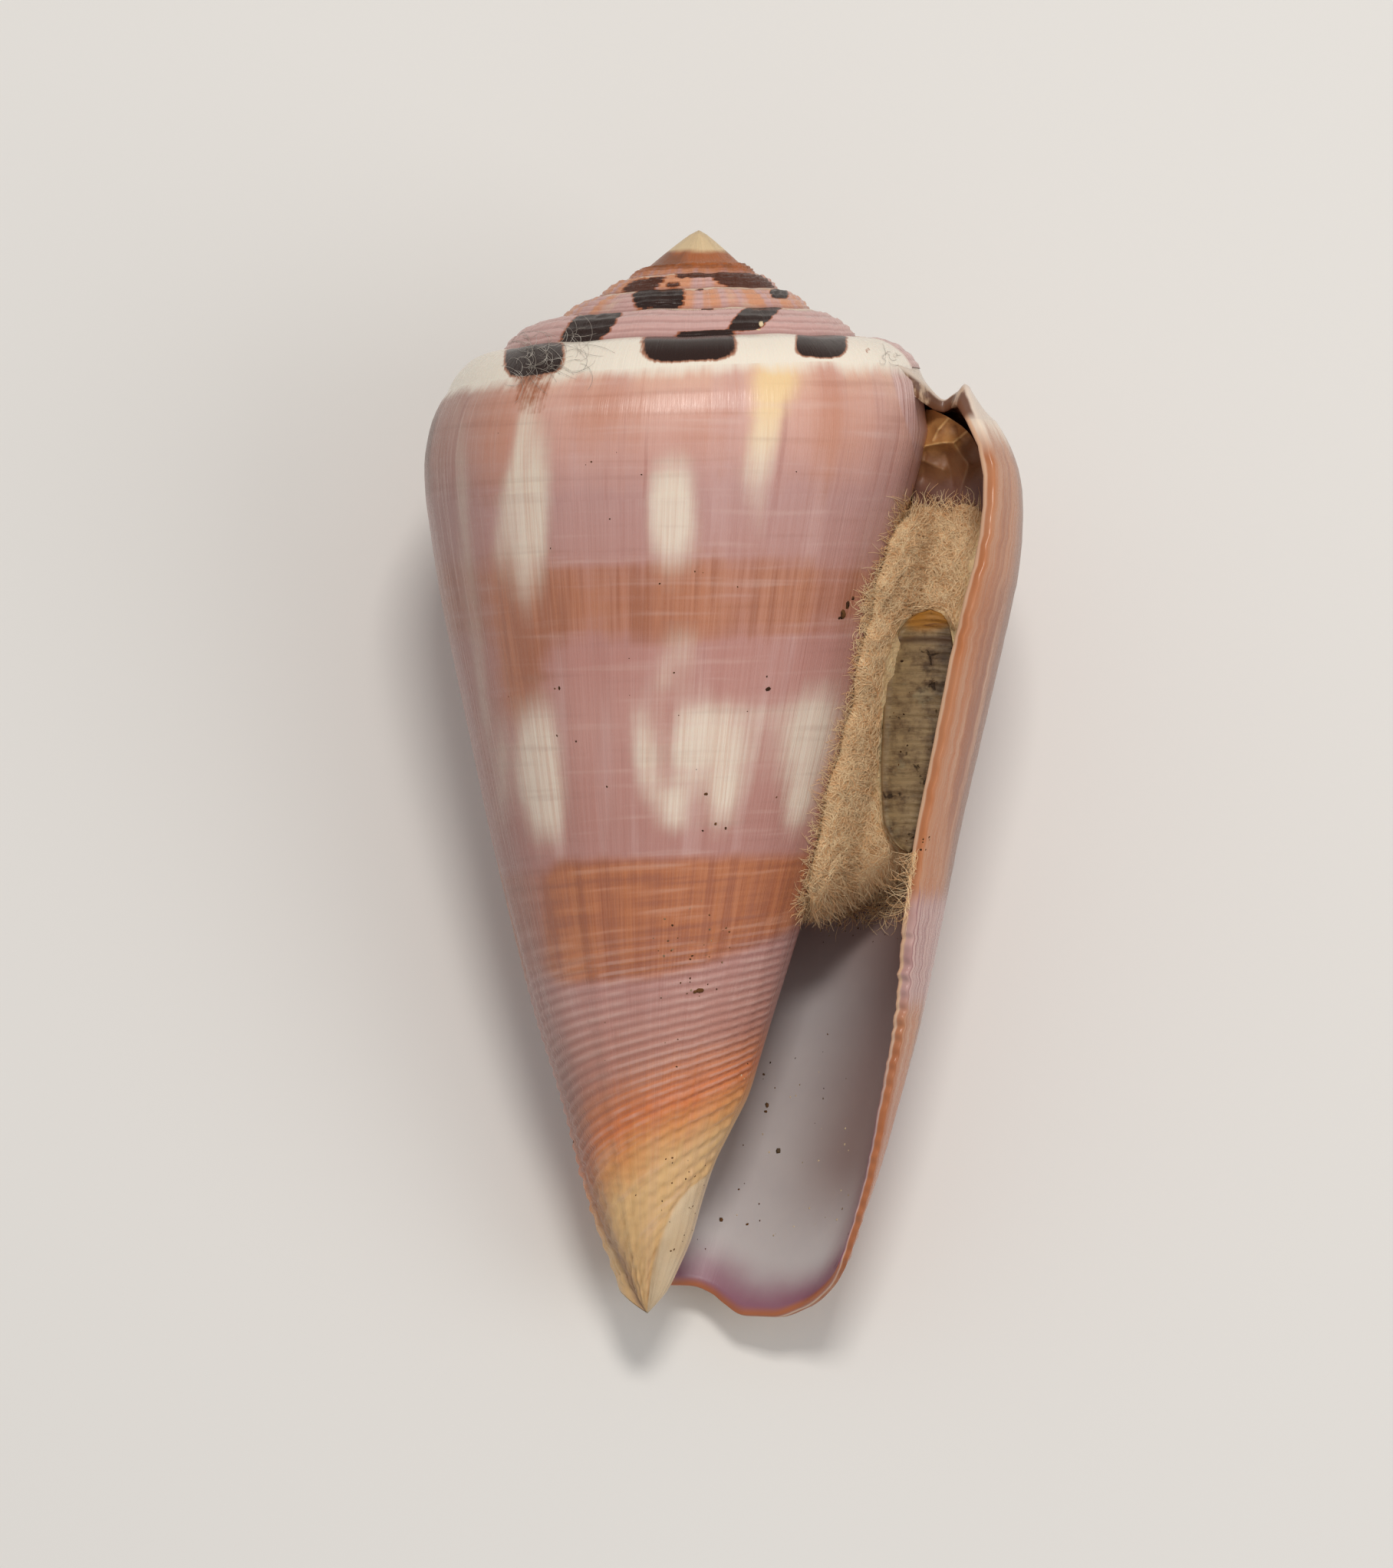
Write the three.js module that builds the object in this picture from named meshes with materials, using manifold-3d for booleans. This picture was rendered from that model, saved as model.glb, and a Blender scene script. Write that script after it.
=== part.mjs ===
// A grown cone shell, lying on its back with its aperture up, with a cotton wad stuffed in the
// aperture, the thin horny operculum on the wad, and a folded paper slip above it.
// Millimetres, +Z up, apex toward +Y, lip toward +X. The origin is below the middle, on the floor.
//
// The shell is one strip that winds about the coiling axis. "turn" is the growth angle in degrees:
// 0 is the right silhouette in the last whorl, -180 the left one, and the lip ends near +20.
// "depth" is the distance below the apex along the axis.
import * as THREE from "three";
import { mergeVertices } from "three/addons/utils/BufferGeometryUtils.js";
import Module from "manifold-3d";

// Driving dimensions.
const LENGTH = 72; // apex to the tip of the columella
const SUTURE_RADIUS = 15.1; // radius of the suture at turn 0
const SUTURE_GROWTH = 0.0543; // growth of that radius, per radian
const LAST_TURN = 20; // where the lip ends
const FIRST_TURN = LAST_TURN - 360;
const SPIRE_TURNS = 4.4; // whorls modelled above the last one
const STEP = 8; // degrees between sections
const WALL = 2.1; // wall of the body whorl
const LIP_WALL = 0.9; // wall at the lip's edge
const CAVITY_START = -220; // how far back the modelled cavity winds
const CANAL_START = -180; // where the outer wall leaves the columella
const LEAN = 0.0474; // how far the columella's tip leans to the left of the spire's axis
const TILT = 12; // degrees that the axis dips toward the tip
const OFFSET = [-1.59, 35.215, 23.03]; // moves the resting point's frame to the middle of the floor
const GAP = 0.35; // between the loose pieces and the shell

const rad = (deg) => (deg * Math.PI) / 180;
const mix = (a, b, t) => a + (b - a) * t;
const clamp = (t) => Math.min(1, Math.max(0, t));
const smooth = (a, b, x) => {
  const t = clamp((x - a) / (b - a));
  return t * t * (3 - 2 * t);
};

// A smooth line through [x, y] points, which never overshoots them.
function line(points) {
  const n = points.length;
  const slope = [];
  for (let i = 0; i < n - 1; i += 1) {
    slope.push((points[i + 1][1] - points[i][1]) / (points[i + 1][0] - points[i][0]));
  }
  const tangent = points.map((_, i) => {
    if (i === 0) return slope[0];
    if (i === n - 1) return slope[n - 2];
    if (slope[i - 1] * slope[i] <= 0) return 0;
    return (2 * slope[i - 1] * slope[i]) / (slope[i - 1] + slope[i]);
  });
  return (x) => {
    if (x <= points[0][0]) return points[0][1] + tangent[0] * (x - points[0][0]);
    if (x >= points[n - 1][0]) return points[n - 1][1] + tangent[n - 1] * (x - points[n - 1][0]);
    let i = 0;
    while (x > points[i + 1][0]) i += 1;
    const h = points[i + 1][0] - points[i][0];
    const t = (x - points[i][0]) / h;
    const a = (1 + 2 * t) * (1 - t) * (1 - t) * points[i][1] + t * (1 - t) * (1 - t) * h * tangent[i];
    const b = t * t * (3 - 2 * t) * points[i + 1][1] + t * t * (t - 1) * h * tangent[i + 1];
    return a + b;
  };
}

// Radius against depth, at the inner wall (turn -360), the left side (-180) and the right side (0).
const innerSide = line([
  [9.1, 15.1], [11, 15.7], [13.5, 15.75], [16, 15.2], [20, 14.2], [23.3, 13.5], [27, 12.9], [31, 12.2],
  [34, 11.6], [37.8, 10.8], [41.5, 10.05], [44.6, 9.3], [47.8, 8.4], [51.4, 7.35], [54.6, 6.4], [57.4, 5.5],
  [59.8, 4.6], [62, 3.85], [64.5, 3.25], [67, 2.7], [69, 1.95], [70.6, 1.2], [LENGTH, 0],
]);
const leftSide = line([
  [9.1, 14.9], [10.2, 15.7], [11.7, 16.7], [13.3, 17.25], [15.5, 17.5], [17.8, 17.3], [19.4, 17.0],
  [22.4, 16.4], [25.5, 15.7], [30.1, 14.5], [34.7, 13.3], [39.3, 12.1], [43.9, 10.8], [48.4, 9.45], [53, 7.95],
  [56.1, 6.75], [59.1, 5.7], [61.5, 4.95], [63.7, 4.2], [66.8, 2.9], [68.3, 2.0], [69.9, 1.2], [71.3, 0.5],
  [LENGTH, 0],
]);
const rightSide = line([
  [9.1, 15.6], [10.3, 17.6], [11.7, 19.4], [13.3, 20.7], [14.8, 21.55], [16.3, 22.1], [17.8, 22.4], [20.5, 22.55],
  [22.4, 22.5], [25.5, 22.1], [30.1, 21.3], [34.7, 20.45], [39.3, 19.6], [43.9, 18.85], [48.4, 18.05],
  [53, 17.2], [56.1, 16.5], [59.1, 15.75], [62.2, 14.9], [65.3, 13.9], [68.3, 12.8], [69.9, 12.1], [72.2, 10.9],
]);

// The last whorl's outer radius. Before turn -360 it is the wall that the cavity winds about.
function radius(turn, depth) {
  const inner = innerSide(depth);
  if (turn < -360) return inner * (1 - (0.27 * (-360 - turn)) / 180);
  const left = leftSide(depth);
  if (turn < -180) return mix(inner, left, smooth(-400, -170, turn) * 1.02 - 0.07 * smooth(-340, -400, turn));
  const t = (turn + 180) / 180;
  const s = t < 1 ? 0.6 * t + 0.4 * t * t : 1 + 0.5 * (t - 1);
  return mix(left, rightSide(depth), s);
}

// The suture, where each whorl starts on the one before.
const sutureRadius = (turn) => SUTURE_RADIUS * Math.exp(SUTURE_GROWTH * rad(turn));
function suture(turn) {
  const r = sutureRadius(turn);
  return [r, 0.888 * r ** 0.88 - 0.45 * smooth(-260, 0, turn)];
}

// The ramp's shape from suture to shoulder: the first whorls' straighter one, its usual one, its sunken
// one near the lip, and the lip's ear.
const EARLY = [[0, 0], [0.28, 0.12], [0.5, 0.26], [0.68, 0.44], [0.82, 0.62], [0.92, 0.8], [1, 1]];
const RAMP = [[0, 0], [0.28, 0.05], [0.52, 0.15], [0.7, 0.34], [0.84, 0.56], [0.93, 0.77], [1, 1]];
const SUNKEN = [[0, 0], [0.12, 0.42], [0.26, 0.58], [0.42, 0.68], [0.6, 0.75], [0.8, 0.84], [1, 1]];
const EAR = [[0, 0], [0.12, 0.33], [0.3, 0.56], [0.45, 0.44], [0.67, 0.32], [0.83, 0.6], [1, 1]];
const NB = RAMP.length - 1;
function ramp(turn, j) {
  const late = smooth(-700, -560, turn);
  const sunk = smooth(-80, -15, turn);
  const ear = smooth(-2, LAST_TURN, turn);
  return [0, 1].map((k) => mix(mix(mix(EARLY[j][k], RAMP[j][k], late), SUNKEN[j][k], sunk), EAR[j][k], ear));
}

// The shoulder, where the ramp meets the flank.
const shoulderDepth = line([[FIRST_TURN, 9.1], [-260, 10.0], [-180, 10.9], [-90, 11.8], [0, 12.8], [LAST_TURN, 13]]);
function shoulder(turn) {
  if (turn <= FIRST_TURN) return suture(turn + 360);
  const depth = mix(suture(LAST_TURN)[1], shoulderDepth(turn), smooth(FIRST_TURN, FIRST_TURN + 60, turn));
  const grown = smooth(FIRST_TURN, FIRST_TURN + 60, turn);
  return [mix(suture(LAST_TURN)[0], radius(turn, depth), grown), depth];
}

// The anterior edge's depth, where the outer wall ends.
const endDepth = line([
  [-180, LENGTH], [-150, 70.8], [-110, 70.0], [-80, 70.3], [-62, 70.4], [-50, 70.9], [-40, 71.6], [-26, 72.3],
  [-12, 72.3], [0, 71.5], [8, 70.6], [LAST_TURN, 68.8],
]);

// Where the flank's points lie between shoulder and end. The cavity's roof meets the inner wall at ROOF
// and its floor meets the columella at FLOOR.
const FLANK = [0, 0.015, 0.03, 0.07, 0.12, 0.18, 0.25, 0.33, 0.41, 0.49, 0.57, 0.65, 0.73, 0.81, 0.88, 0.945, 1];
const NF = FLANK.length - 1;
const ROOF = 2;
const FLOOR = NF - 2;
const M = NB + NF;

// The lip's edge: how far round each point of the last section lies.
const lipTurn = line([
  [13, 24], [16, 26], [20, 29], [28, 33], [40, 33], [46, 31], [51.5, 27], [58, 24], [63, 19], [67, 14], [72, 8],
]);
const NOTCH = [20, 13, 9, 10, 19, 22, 24];
function warp(turn, j, depth) {
  const grown = smooth(-60, LAST_TURN, turn);
  const edge = j <= NB ? NOTCH[j] : lipTurn(depth);
  return turn + (edge - LAST_TURN) * grown;
}

// From turn, radius and depth to a point as the shell lies.
const tilt = rad(TILT);
function place(turn, r, depth) {
  const x = r * Math.cos(rad(turn)) - LEAN * depth;
  const y = r * Math.sin(rad(turn));
  return lay(x, y, depth);
}
function lay(x, y, depth) {
  return [
    x + OFFSET[0],
    -depth * Math.cos(tilt) - y * Math.sin(tilt) + OFFSET[1],
    -depth * Math.sin(tilt) + y * Math.cos(tilt) + OFFSET[2],
  ];
}

// Point j of the outer surface's section.
function outerSection(turn, j) {
  const start = suture(turn);
  const end = shoulder(turn);
  if (j <= NB) {
    const [x, y] = ramp(turn, j);
    return [mix(start[0], end[0], x), mix(start[1], end[1], y)];
  }
  const last = turn <= CANAL_START ? LENGTH : endDepth(turn);
  const depth = mix(end[1], last, FLANK[j - NB]);
  const grown = turn <= FIRST_TURN ? 0 : 1;
  const near = (1 - grown) * (1 - smooth(0, 4, depth - end[1]));
  return [mix(radius(turn, depth), end[0], near), depth];
}
function outer(turn, j) {
  const [r, depth] = outerSection(turn, j);
  return place(warp(turn, j, depth), r, depth);
}

// Point j of the inner whorl's flank, seen from inside the cavity; turn is its own growth angle.
function innerSection(turn, j) {
  return outerSection(turn, NB + j);
}
const inner = (turn, j) => place(turn, ...innerSection(turn, j));

// Point j of the cavity's outer side, with the wall's thickness taken off the outer surface.
function wall(turn, depth) {
  const back = mix(LIP_WALL, WALL, smooth(LAST_TURN, LAST_TURN - 45, turn));
  return back * mix(1, 0.6, smooth(45, 68, depth));
}
function cavitySection(turn, j) {
  const start = innerSection(turn - 360, ROOF);
  const floor = innerSection(turn - 360, FLOOR);
  const top = shoulder(turn);
  const thick = wall(turn, top[1]);
  const eaves = [top[0] - thick, top[1] + mix(0.1, 0.8, smooth(LAST_TURN, -30, turn))];
  if (j <= NB) {
    const [x, y] = ramp(turn, j);
    return [mix(start[0], eaves[0], x), mix(start[1], eaves[1], Math.min(1, y))];
  }
  const open = smooth(CANAL_START, CANAL_START + 75, turn);
  const f = FLANK[j - NB];
  const last = mix(floor[1], turn <= CANAL_START ? floor[1] : endDepth(turn), open);
  const depth = mix(eaves[1], last, f);
  const inside = radius(turn - 360, depth);
  const room = Math.max(0.5, radius(turn, depth) - wall(turn, depth) - inside);
  const pinch = 1 - (1 - open) * f ** 5;
  return j === M && open === 0 ? floor : [inside + room * pinch, depth];
}
function cavity(turn, j) {
  const [r, depth] = cavitySection(turn, j);
  if (j === 0) return place(turn, r, depth);
  return place(warp(turn, j, depth), r, depth);
}

// Triangles are gathered here as loose corners and welded at the end.
function weld(corners) {
  const loose = new THREE.BufferGeometry();
  loose.setAttribute("position", new THREE.Float32BufferAttribute(corners.flat(), 3));
  const welded = mergeVertices(loose, 1e-3);
  const index = [];
  const from = welded.index.array;
  for (let i = 0; i < from.length; i += 3) {
    const [a, b, c] = [from[i], from[i + 1], from[i + 2]];
    if (a !== b && b !== c && a !== c) index.push(a, b, c);
  }
  welded.setIndex(index);
  return welded;
}
// A patch of quads between rows of points; flip turns its faces over.
function patch(corners, rows, flip = false) {
  for (let i = 0; i < rows.length - 1; i += 1) {
    for (let j = 0; j < rows[i].length - 1; j += 1) {
      const [a, b, c, d] = [rows[i][j], rows[i][j + 1], rows[i + 1][j + 1], rows[i + 1][j]];
      if (flip) corners.push(a, b, c, a, c, d);
      else corners.push(a, c, b, a, d, c);
    }
  }
}
function range(from, to, step) {
  const n = Math.round((to - from) / step);
  return Array.from({ length: n + 1 }, (_, i) => from + ((to - from) * i) / n);
}
const upTo = (n) => Array.from({ length: n + 1 }, (_, i) => i);

function shellGeometry() {
  const corners = [];
  const top = FIRST_TURN - 360 * SPIRE_TURNS;

  // The apex: a small cone over the first whorl on show.
  const apex = place(0, 0, 0);
  const first = range(top, top + 360, STEP).map((turn) => outer(turn, 0));
  for (let i = 0; i < first.length - 1; i += 1) corners.push(apex, first[i + 1], first[i]);
  const seam = upTo(NB).map((j) => outer(top, j));
  for (let j = 0; j < NB; j += 1) corners.push(apex, seam[j], seam[j + 1]);

  // The spire's whorls, and the last whorl down to the anterior end.
  patch(corners, range(top, FIRST_TURN, STEP).map((turn) => upTo(NB).map((j) => outer(turn, j))));
  const last = range(FIRST_TURN, LAST_TURN, STEP);
  patch(corners, last.map((turn) => upTo(M).map((j) => outer(turn, j))));

  // The cavity: the inner whorl's flank, then the roof and the outer wall's inner side.
  const back = range(CAVITY_START - 360, CANAL_START - 360, STEP);
  const fore = range(CANAL_START - 360, FIRST_TURN, STEP);
  const rowsBack = back.map((turn) => upTo(FLOOR - ROOF).map((j) => inner(turn, j + ROOF)));
  const rowsFore = fore.map((turn) => upTo(NF - ROOF).map((j) => inner(turn, j + ROOF)));
  patch(corners, rowsBack);
  patch(corners, rowsFore);
  const inside = range(CAVITY_START, LAST_TURN, STEP).map((turn) => upTo(M).map((j) => cavity(turn, j)));
  patch(corners, inside, true);

  // The cavity's far end.
  const deep = inside[0];
  const column = rowsBack[0];
  for (let j = 0; j < M; j += 1) {
    const a = Math.max(0, Math.min(column.length - 1, j - NB));
    const b = Math.max(0, Math.min(column.length - 1, j + 1 - NB));
    corners.push(column[a], deep[j + 1], deep[j]);
    if (a !== b) corners.push(column[a], column[b], deep[j + 1]);
  }

  // The anterior edge, where the outer wall is open, and the lip's edge.
  const rim = (a, b, k) => a.map((v, i) => mix(v, b[i], k / ROOF));
  const edge = range(CANAL_START, LAST_TURN, STEP).map((turn, i) => {
    if (i === 0) return upTo(ROOF).map((k) => inner(CANAL_START - 360, NF - k));
    return upTo(ROOF).map((k) => rim(outer(turn, M), cavity(turn, M), k));
  });
  patch(corners, edge);
  const lip = upTo(M).map((j) => {
    if (j === 0) return upTo(ROOF).map((k) => inner(FIRST_TURN, k));
    return upTo(ROOF).map((k) => rim(outer(LAST_TURN, j), cavity(LAST_TURN, j), k));
  });
  patch(corners, lip, true);
  return weld(corners);
}

const wasm = await Module();
wasm.setup();
function solid(geometry) {
  const made = new wasm.Manifold(new wasm.Mesh({
    numProp: 3,
    vertProperties: new Float32Array(geometry.attributes.position.array),
    triVerts: new Uint32Array(geometry.index.array),
  }));
  return made;
}
function geometryOf(made) {
  const mesh = made.getMesh();
  const geometry = new THREE.BufferGeometry();
  const flat = [];
  for (let i = 0; i < mesh.vertProperties.length; i += mesh.numProp) {
    flat.push(mesh.vertProperties[i], mesh.vertProperties[i + 1], mesh.vertProperties[i + 2]);
  }
  geometry.setAttribute("position", new THREE.Float32BufferAttribute(flat, 3));
  geometry.setIndex(Array.from(mesh.triVerts));
  geometry.computeVertexNormals();
  return geometry;
}

const shell = geometryOf(solid(shellGeometry()).trimByPlane([0, 0, 1], 0));

// A closed skin over rows of loops, with a fan at each end.
function loft(loops) {
  const corners = [];
  patch(corners, loops.map((loop) => [...loop, loop[0]]));
  const middle = (loop) => [0, 1, 2].map((k) => loop.reduce((sum, p) => sum + p[k], 0) / loop.length);
  const [low, high] = [loops[0], loops[loops.length - 1]];
  low.forEach((p, i) => corners.push(middle(low), p, low[(i + 1) % low.length]));
  high.forEach((p, i) => corners.push(middle(high), high[(i + 1) % high.length], p));
  return weld(corners);
}

// The cotton's front, and the room for it between the inner whorl and the outer wall.
const COTTON = [18.6, 45.6]; // from and to this depth
const cottonFront = (x, u) => 2.6 + 0.3 * (x - 14) - 2.2 * u ** 6;
function room(turn, s, depth) {
  const edge = lipTurn(depth) - LAST_TURN;
  const own = turn - edge * smooth(-60, LAST_TURN, turn);
  const low = radius(turn - 360, depth) + GAP;
  const high = radius(own, depth) - wall(own, depth) - 2 * GAP;
  return mix(low, high, s);
}
function frontTurn(s, depth, u) {
  let [low, high] = [-60, 30];
  for (let i = 0; i < 30; i += 1) {
    const turn = (low + high) / 2;
    const r = room(turn, s, depth);
    if (r * Math.sin(rad(turn)) < cottonFront(r * Math.cos(rad(turn)), u)) low = turn;
    else high = turn;
  }
  return low;
}
function cottonLoop(u) {
  const depth = mix(COTTON[0], COTTON[1], (u + 1) / 2);
  const span = 42 * Math.sqrt(Math.max(0.03, 1 - u ** 4));
  const at = (s, back) => {
    const turn = frontTurn(s, depth, u) - span * back;
    return place(turn, room(turn, s, depth), depth);
  };
  const across = [0, 0.2, 0.4, 0.6, 0.8];
  const down = [0, 0.25, 0.5, 0.75];
  return [
    ...across.map((s) => at(s, 0)),
    ...down.map((b) => at(1, b)),
    ...across.map((s) => at(1 - s, 1)),
    ...down.map((b) => at(0, 1 - b)),
  ];
}
const cotton = loft(range(-1, 1, 0.125).map((u) => cottonLoop(u)));

// The operculum's left and right edge by depth, and its plate just above the cotton.
const PLATE = [
  [25.4, 15.9, 17.0], [26.9, 14.4, 17.9], [30.7, 13.7, 18.4], [34.8, 13.7, 18.2], [38.9, 14.0, 16.9],
  [40.6, 14.7, 16.5], [41.3, 15.4, 16.0],
];
function plateLoop([depth, left, right]) {
  const at = (k, lift) => {
    const x = mix(left, right, k);
    return lay(x - LEAN * depth, cottonFront(x, 0) + GAP + lift, depth);
  };
  return [at(0, 0.3), at(0.5, 0.75), at(1, 0.3), at(1, 0.05), at(0.5, 0.05), at(0, 0.05)];
}
const plate = loft(PLATE.map(plateLoop));

// The folded slip: depth, then left and right edge with their height in front of the axis.
const SLIP = [
  [13.4, 16.7, 0.9, 18.2, 2.2], [14.2, 16.5, 1.7, 18.7, 3.6], [15.4, 16.4, 1.0, 19.0, 3.0],
  [17.4, 16.0, 0.4, 18.6, 1.6],
];
const slip = loft(SLIP.map(([depth, left, low, right, high]) => [
  lay(left - LEAN * depth, low + 0.35, depth), lay(right - LEAN * depth, high + 0.35, depth),
  lay(right - LEAN * depth, high, depth), lay(left - LEAN * depth, low, depth),
]));

const group = new THREE.Group();
function add(name, geometry, color, roughness) {
  const mesh = new THREE.Mesh(geometry, new THREE.MeshStandardMaterial({ color, roughness, metalness: 0 }));
  mesh.name = name;
  group.add(mesh);
}
add("shell", shell, 0xb48c8a, 0.4);
add("cotton_wad", cotton, 0xbe9b73, 1);
add("operculum", plate, 0x6e5f41, 0.5);
add("paper_slip", slip, 0xc8a05a, 0.5);

export default group;
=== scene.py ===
"""A grown cone shell lying on its back, with a cotton wad, the operculum and a folded slip in its aperture.

Positions on the shell are given as growth angle ("turn", degrees), radius and depth below the apex (mm),
as in the CAD part. Turn 0 is the right side of the last whorl, -180 the left one and +20 the lip.
"""
import math

import bpy
import numpy as np
from mathutils import Matrix, Vector
from mathutils.bvhtree import BVHTree


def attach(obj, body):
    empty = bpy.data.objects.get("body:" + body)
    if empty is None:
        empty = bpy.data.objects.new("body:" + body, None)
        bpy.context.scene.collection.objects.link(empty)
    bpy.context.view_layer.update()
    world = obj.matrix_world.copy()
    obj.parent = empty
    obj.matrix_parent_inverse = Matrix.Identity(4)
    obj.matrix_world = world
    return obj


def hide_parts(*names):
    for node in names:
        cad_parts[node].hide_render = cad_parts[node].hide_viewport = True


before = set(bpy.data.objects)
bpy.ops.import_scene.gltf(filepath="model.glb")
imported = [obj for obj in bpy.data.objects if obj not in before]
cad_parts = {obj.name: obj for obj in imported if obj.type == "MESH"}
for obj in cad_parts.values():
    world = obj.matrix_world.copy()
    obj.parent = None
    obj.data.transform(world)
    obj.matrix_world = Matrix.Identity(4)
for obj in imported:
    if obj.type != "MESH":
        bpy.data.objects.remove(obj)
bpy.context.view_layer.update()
rng = np.random.default_rng(7)

# The CAD part's driving dimensions, in millimetres and degrees.
LENGTH = 72.0
SUTURE_RADIUS = 15.1
SUTURE_GROWTH = 0.0543
LAST = 20.0
FIRST = LAST - 360.0
SPIRE_TURNS = 4.4
WALL = 2.1
LIP_WALL = 0.9
CAVITY_START = -220.0
CANAL_START = -180.0
LEAN = 0.0474
TILT = math.radians(12.0)
OFFSET = (-1.59, 35.215, 23.03)
GAP = 0.35
STEP = 2.0  # degrees between the mesh's rows

# The photograph's scale in the plane of the axis, where its middle falls, and the camera's distance.
PIXEL = 0.05099
CENTRE = (908.0, 1022.0)
APEX = (911.0, 300.0)
DISTANCE = 480.0
PHOTO_WIDTH = 1816
SENSOR = 36


def smooth(a, b, x):
    t = np.clip((np.asarray(x, float) - a) / (b - a), 0, 1)
    return t * t * (3 - 2 * t)


def mix(a, b, t):
    return a + (b - a) * t


def line(points):
    """A smooth line through (x, y) points, which never overshoots them."""
    xs, ys = np.array(points, float).T
    slope = np.diff(ys) / np.diff(xs)
    tangent = np.empty(len(xs))
    tangent[0], tangent[-1] = slope[0], slope[-1]
    product = slope[:-1] * slope[1:]
    total = np.where(np.abs(slope[:-1] + slope[1:]) < 1e-12, 1, slope[:-1] + slope[1:])
    tangent[1:-1] = np.where(product > 0, 2 * product / total, 0)

    def value(x):
        x = np.asarray(x, float)
        i = np.clip(np.searchsorted(xs, x, side="right") - 1, 0, len(xs) - 2)
        h = xs[i + 1] - xs[i]
        t = np.clip((x - xs[i]) / h, 0, 1)
        y = (1 + 2 * t) * (1 - t) ** 2 * ys[i] + t * (1 - t) ** 2 * h * tangent[i]
        y = y + t * t * (3 - 2 * t) * ys[i + 1] + t * t * (t - 1) * h * tangent[i + 1]
        y = y + np.where(x < xs[0], tangent[0] * (x - xs[0]), 0)
        return y + np.where(x > xs[-1], tangent[-1] * (x - xs[-1]), 0)

    return value


def waves(seed, count, low, high):
    """A sum of seeded sines, which stands in for noise wherever the mesh itself is shaped."""
    r = np.random.default_rng(seed)
    parts = [(r.uniform(low, high), r.uniform(0, 2 * math.pi)) for _ in range(count)]
    return lambda x: sum(np.sin(f * x + p) for f, p in parts) / math.sqrt(count)


growth_wave = waves(1, 9, 3.0, 26.0)
suture_wave = waves(2, 8, 3.0, 22.0)
lip_wave = waves(3, 8, 3.0, 16.0)

inner_side = line([
    (9.1, 15.1), (11, 15.7), (13.5, 15.75), (16, 15.2), (20, 14.2), (23.3, 13.5), (27, 12.9), (31, 12.2),
    (34, 11.6), (37.8, 10.8), (41.5, 10.05), (44.6, 9.3), (47.8, 8.5), (51.4, 7.55), (54.6, 6.75),
    (57.4, 6.05), (59.8, 4.95), (62, 3.95), (64.5, 3.25), (67, 2.7), (69, 1.95), (70.6, 1.2), (LENGTH, 0),
])
left_side = line([
    (9.1, 14.9), (10.2, 15.7), (11.7, 16.7), (13.3, 17.25), (15.5, 17.5), (17.8, 17.3), (19.4, 17.0),
    (22.4, 16.4), (25.5, 15.7), (30.1, 14.5), (34.7, 13.3), (39.3, 12.1), (43.9, 10.8), (48.4, 9.45),
    (53, 7.95), (56.1, 6.75), (59.1, 5.7), (61.5, 4.95), (63.7, 4.2), (66.8, 2.9), (68.3, 2.0),
    (69.9, 1.2), (71.3, 0.5), (LENGTH, 0),
])
right_side = line([
    (9.1, 15.6), (10.3, 17.6), (11.7, 19.4), (13.3, 20.7), (14.8, 21.55), (16.3, 22.1), (17.8, 22.4),
    (20.5, 22.55), (22.4, 22.5), (25.5, 22.1), (30.1, 21.3), (34.7, 20.45), (39.3, 19.6), (43.9, 18.85),
    (48.4, 18.05), (53, 17.2), (56.1, 16.5), (59.1, 15.75), (62.2, 14.9), (65.3, 13.9), (68.3, 12.8),
    (69.9, 12.1), (72.2, 10.9),
])


def radius(turn, depth):
    """The last whorl's radius; before turn -360 it is the wall that the cavity winds about."""
    turn = np.asarray(turn, float)
    inner = inner_side(depth)
    left = left_side(depth)
    buried = inner * (1 - 0.27 * (-360 - turn) / 180)
    grown = smooth(-400, -170, turn) * 1.02 - 0.07 * smooth(-340, -400, turn)
    front = mix(inner, left, grown)
    t = (turn + 180) / 180
    s = np.where(t < 1, 0.6 * t + 0.4 * t * t, 1 + 0.5 * (t - 1))
    back = mix(left, right_side(depth), s)
    return np.where(turn < -360, buried, np.where(turn < -180, front, back))


def suture(turn):
    r = SUTURE_RADIUS * np.exp(SUTURE_GROWTH * np.radians(turn))
    ragged = 0.045 * suture_wave(np.radians(turn)) * (1 - smooth(-30, 0, turn)) * smooth(2, 5, r)
    return r, 0.888 * r ** 0.88 - 0.45 * smooth(-260, 0, turn) + ragged


# The ramp from suture to shoulder: the first whorls', the usual one, the sunken one near the lip, the ear.
RAMPS = [
    [(0, 0), (0.28, 0.12), (0.5, 0.26), (0.68, 0.44), (0.82, 0.62), (0.92, 0.8), (1, 1)],
    [(0, 0), (0.28, 0.05), (0.52, 0.15), (0.7, 0.34), (0.84, 0.56), (0.93, 0.77), (1, 1)],
    [(0, 0), (0.12, 0.42), (0.26, 0.58), (0.42, 0.68), (0.6, 0.75), (0.8, 0.84), (1, 1)],
    [(0, 0), (0.12, 0.33), (0.3, 0.56), (0.45, 0.44), (0.67, 0.32), (0.83, 0.6), (1, 1)],
]
RAMP_LINES = [[line([(i / 6, p[k]) for i, p in enumerate(shape)]) for k in (0, 1)] for shape in RAMPS]


def ramp(turn, s):
    """How far out and down the ramp is at s, from 0 at the suture to 1 at the shoulder."""
    late = smooth(-700, -560, turn)
    sunk = smooth(-80, -15, turn)
    ear = smooth(-2, LAST, turn)
    early, usual, low, lip = [[f(s) for f in pair] for pair in RAMP_LINES]
    return [mix(mix(mix(early[k], usual[k], late), low[k], sunk), lip[k], ear) for k in (0, 1)]


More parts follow.
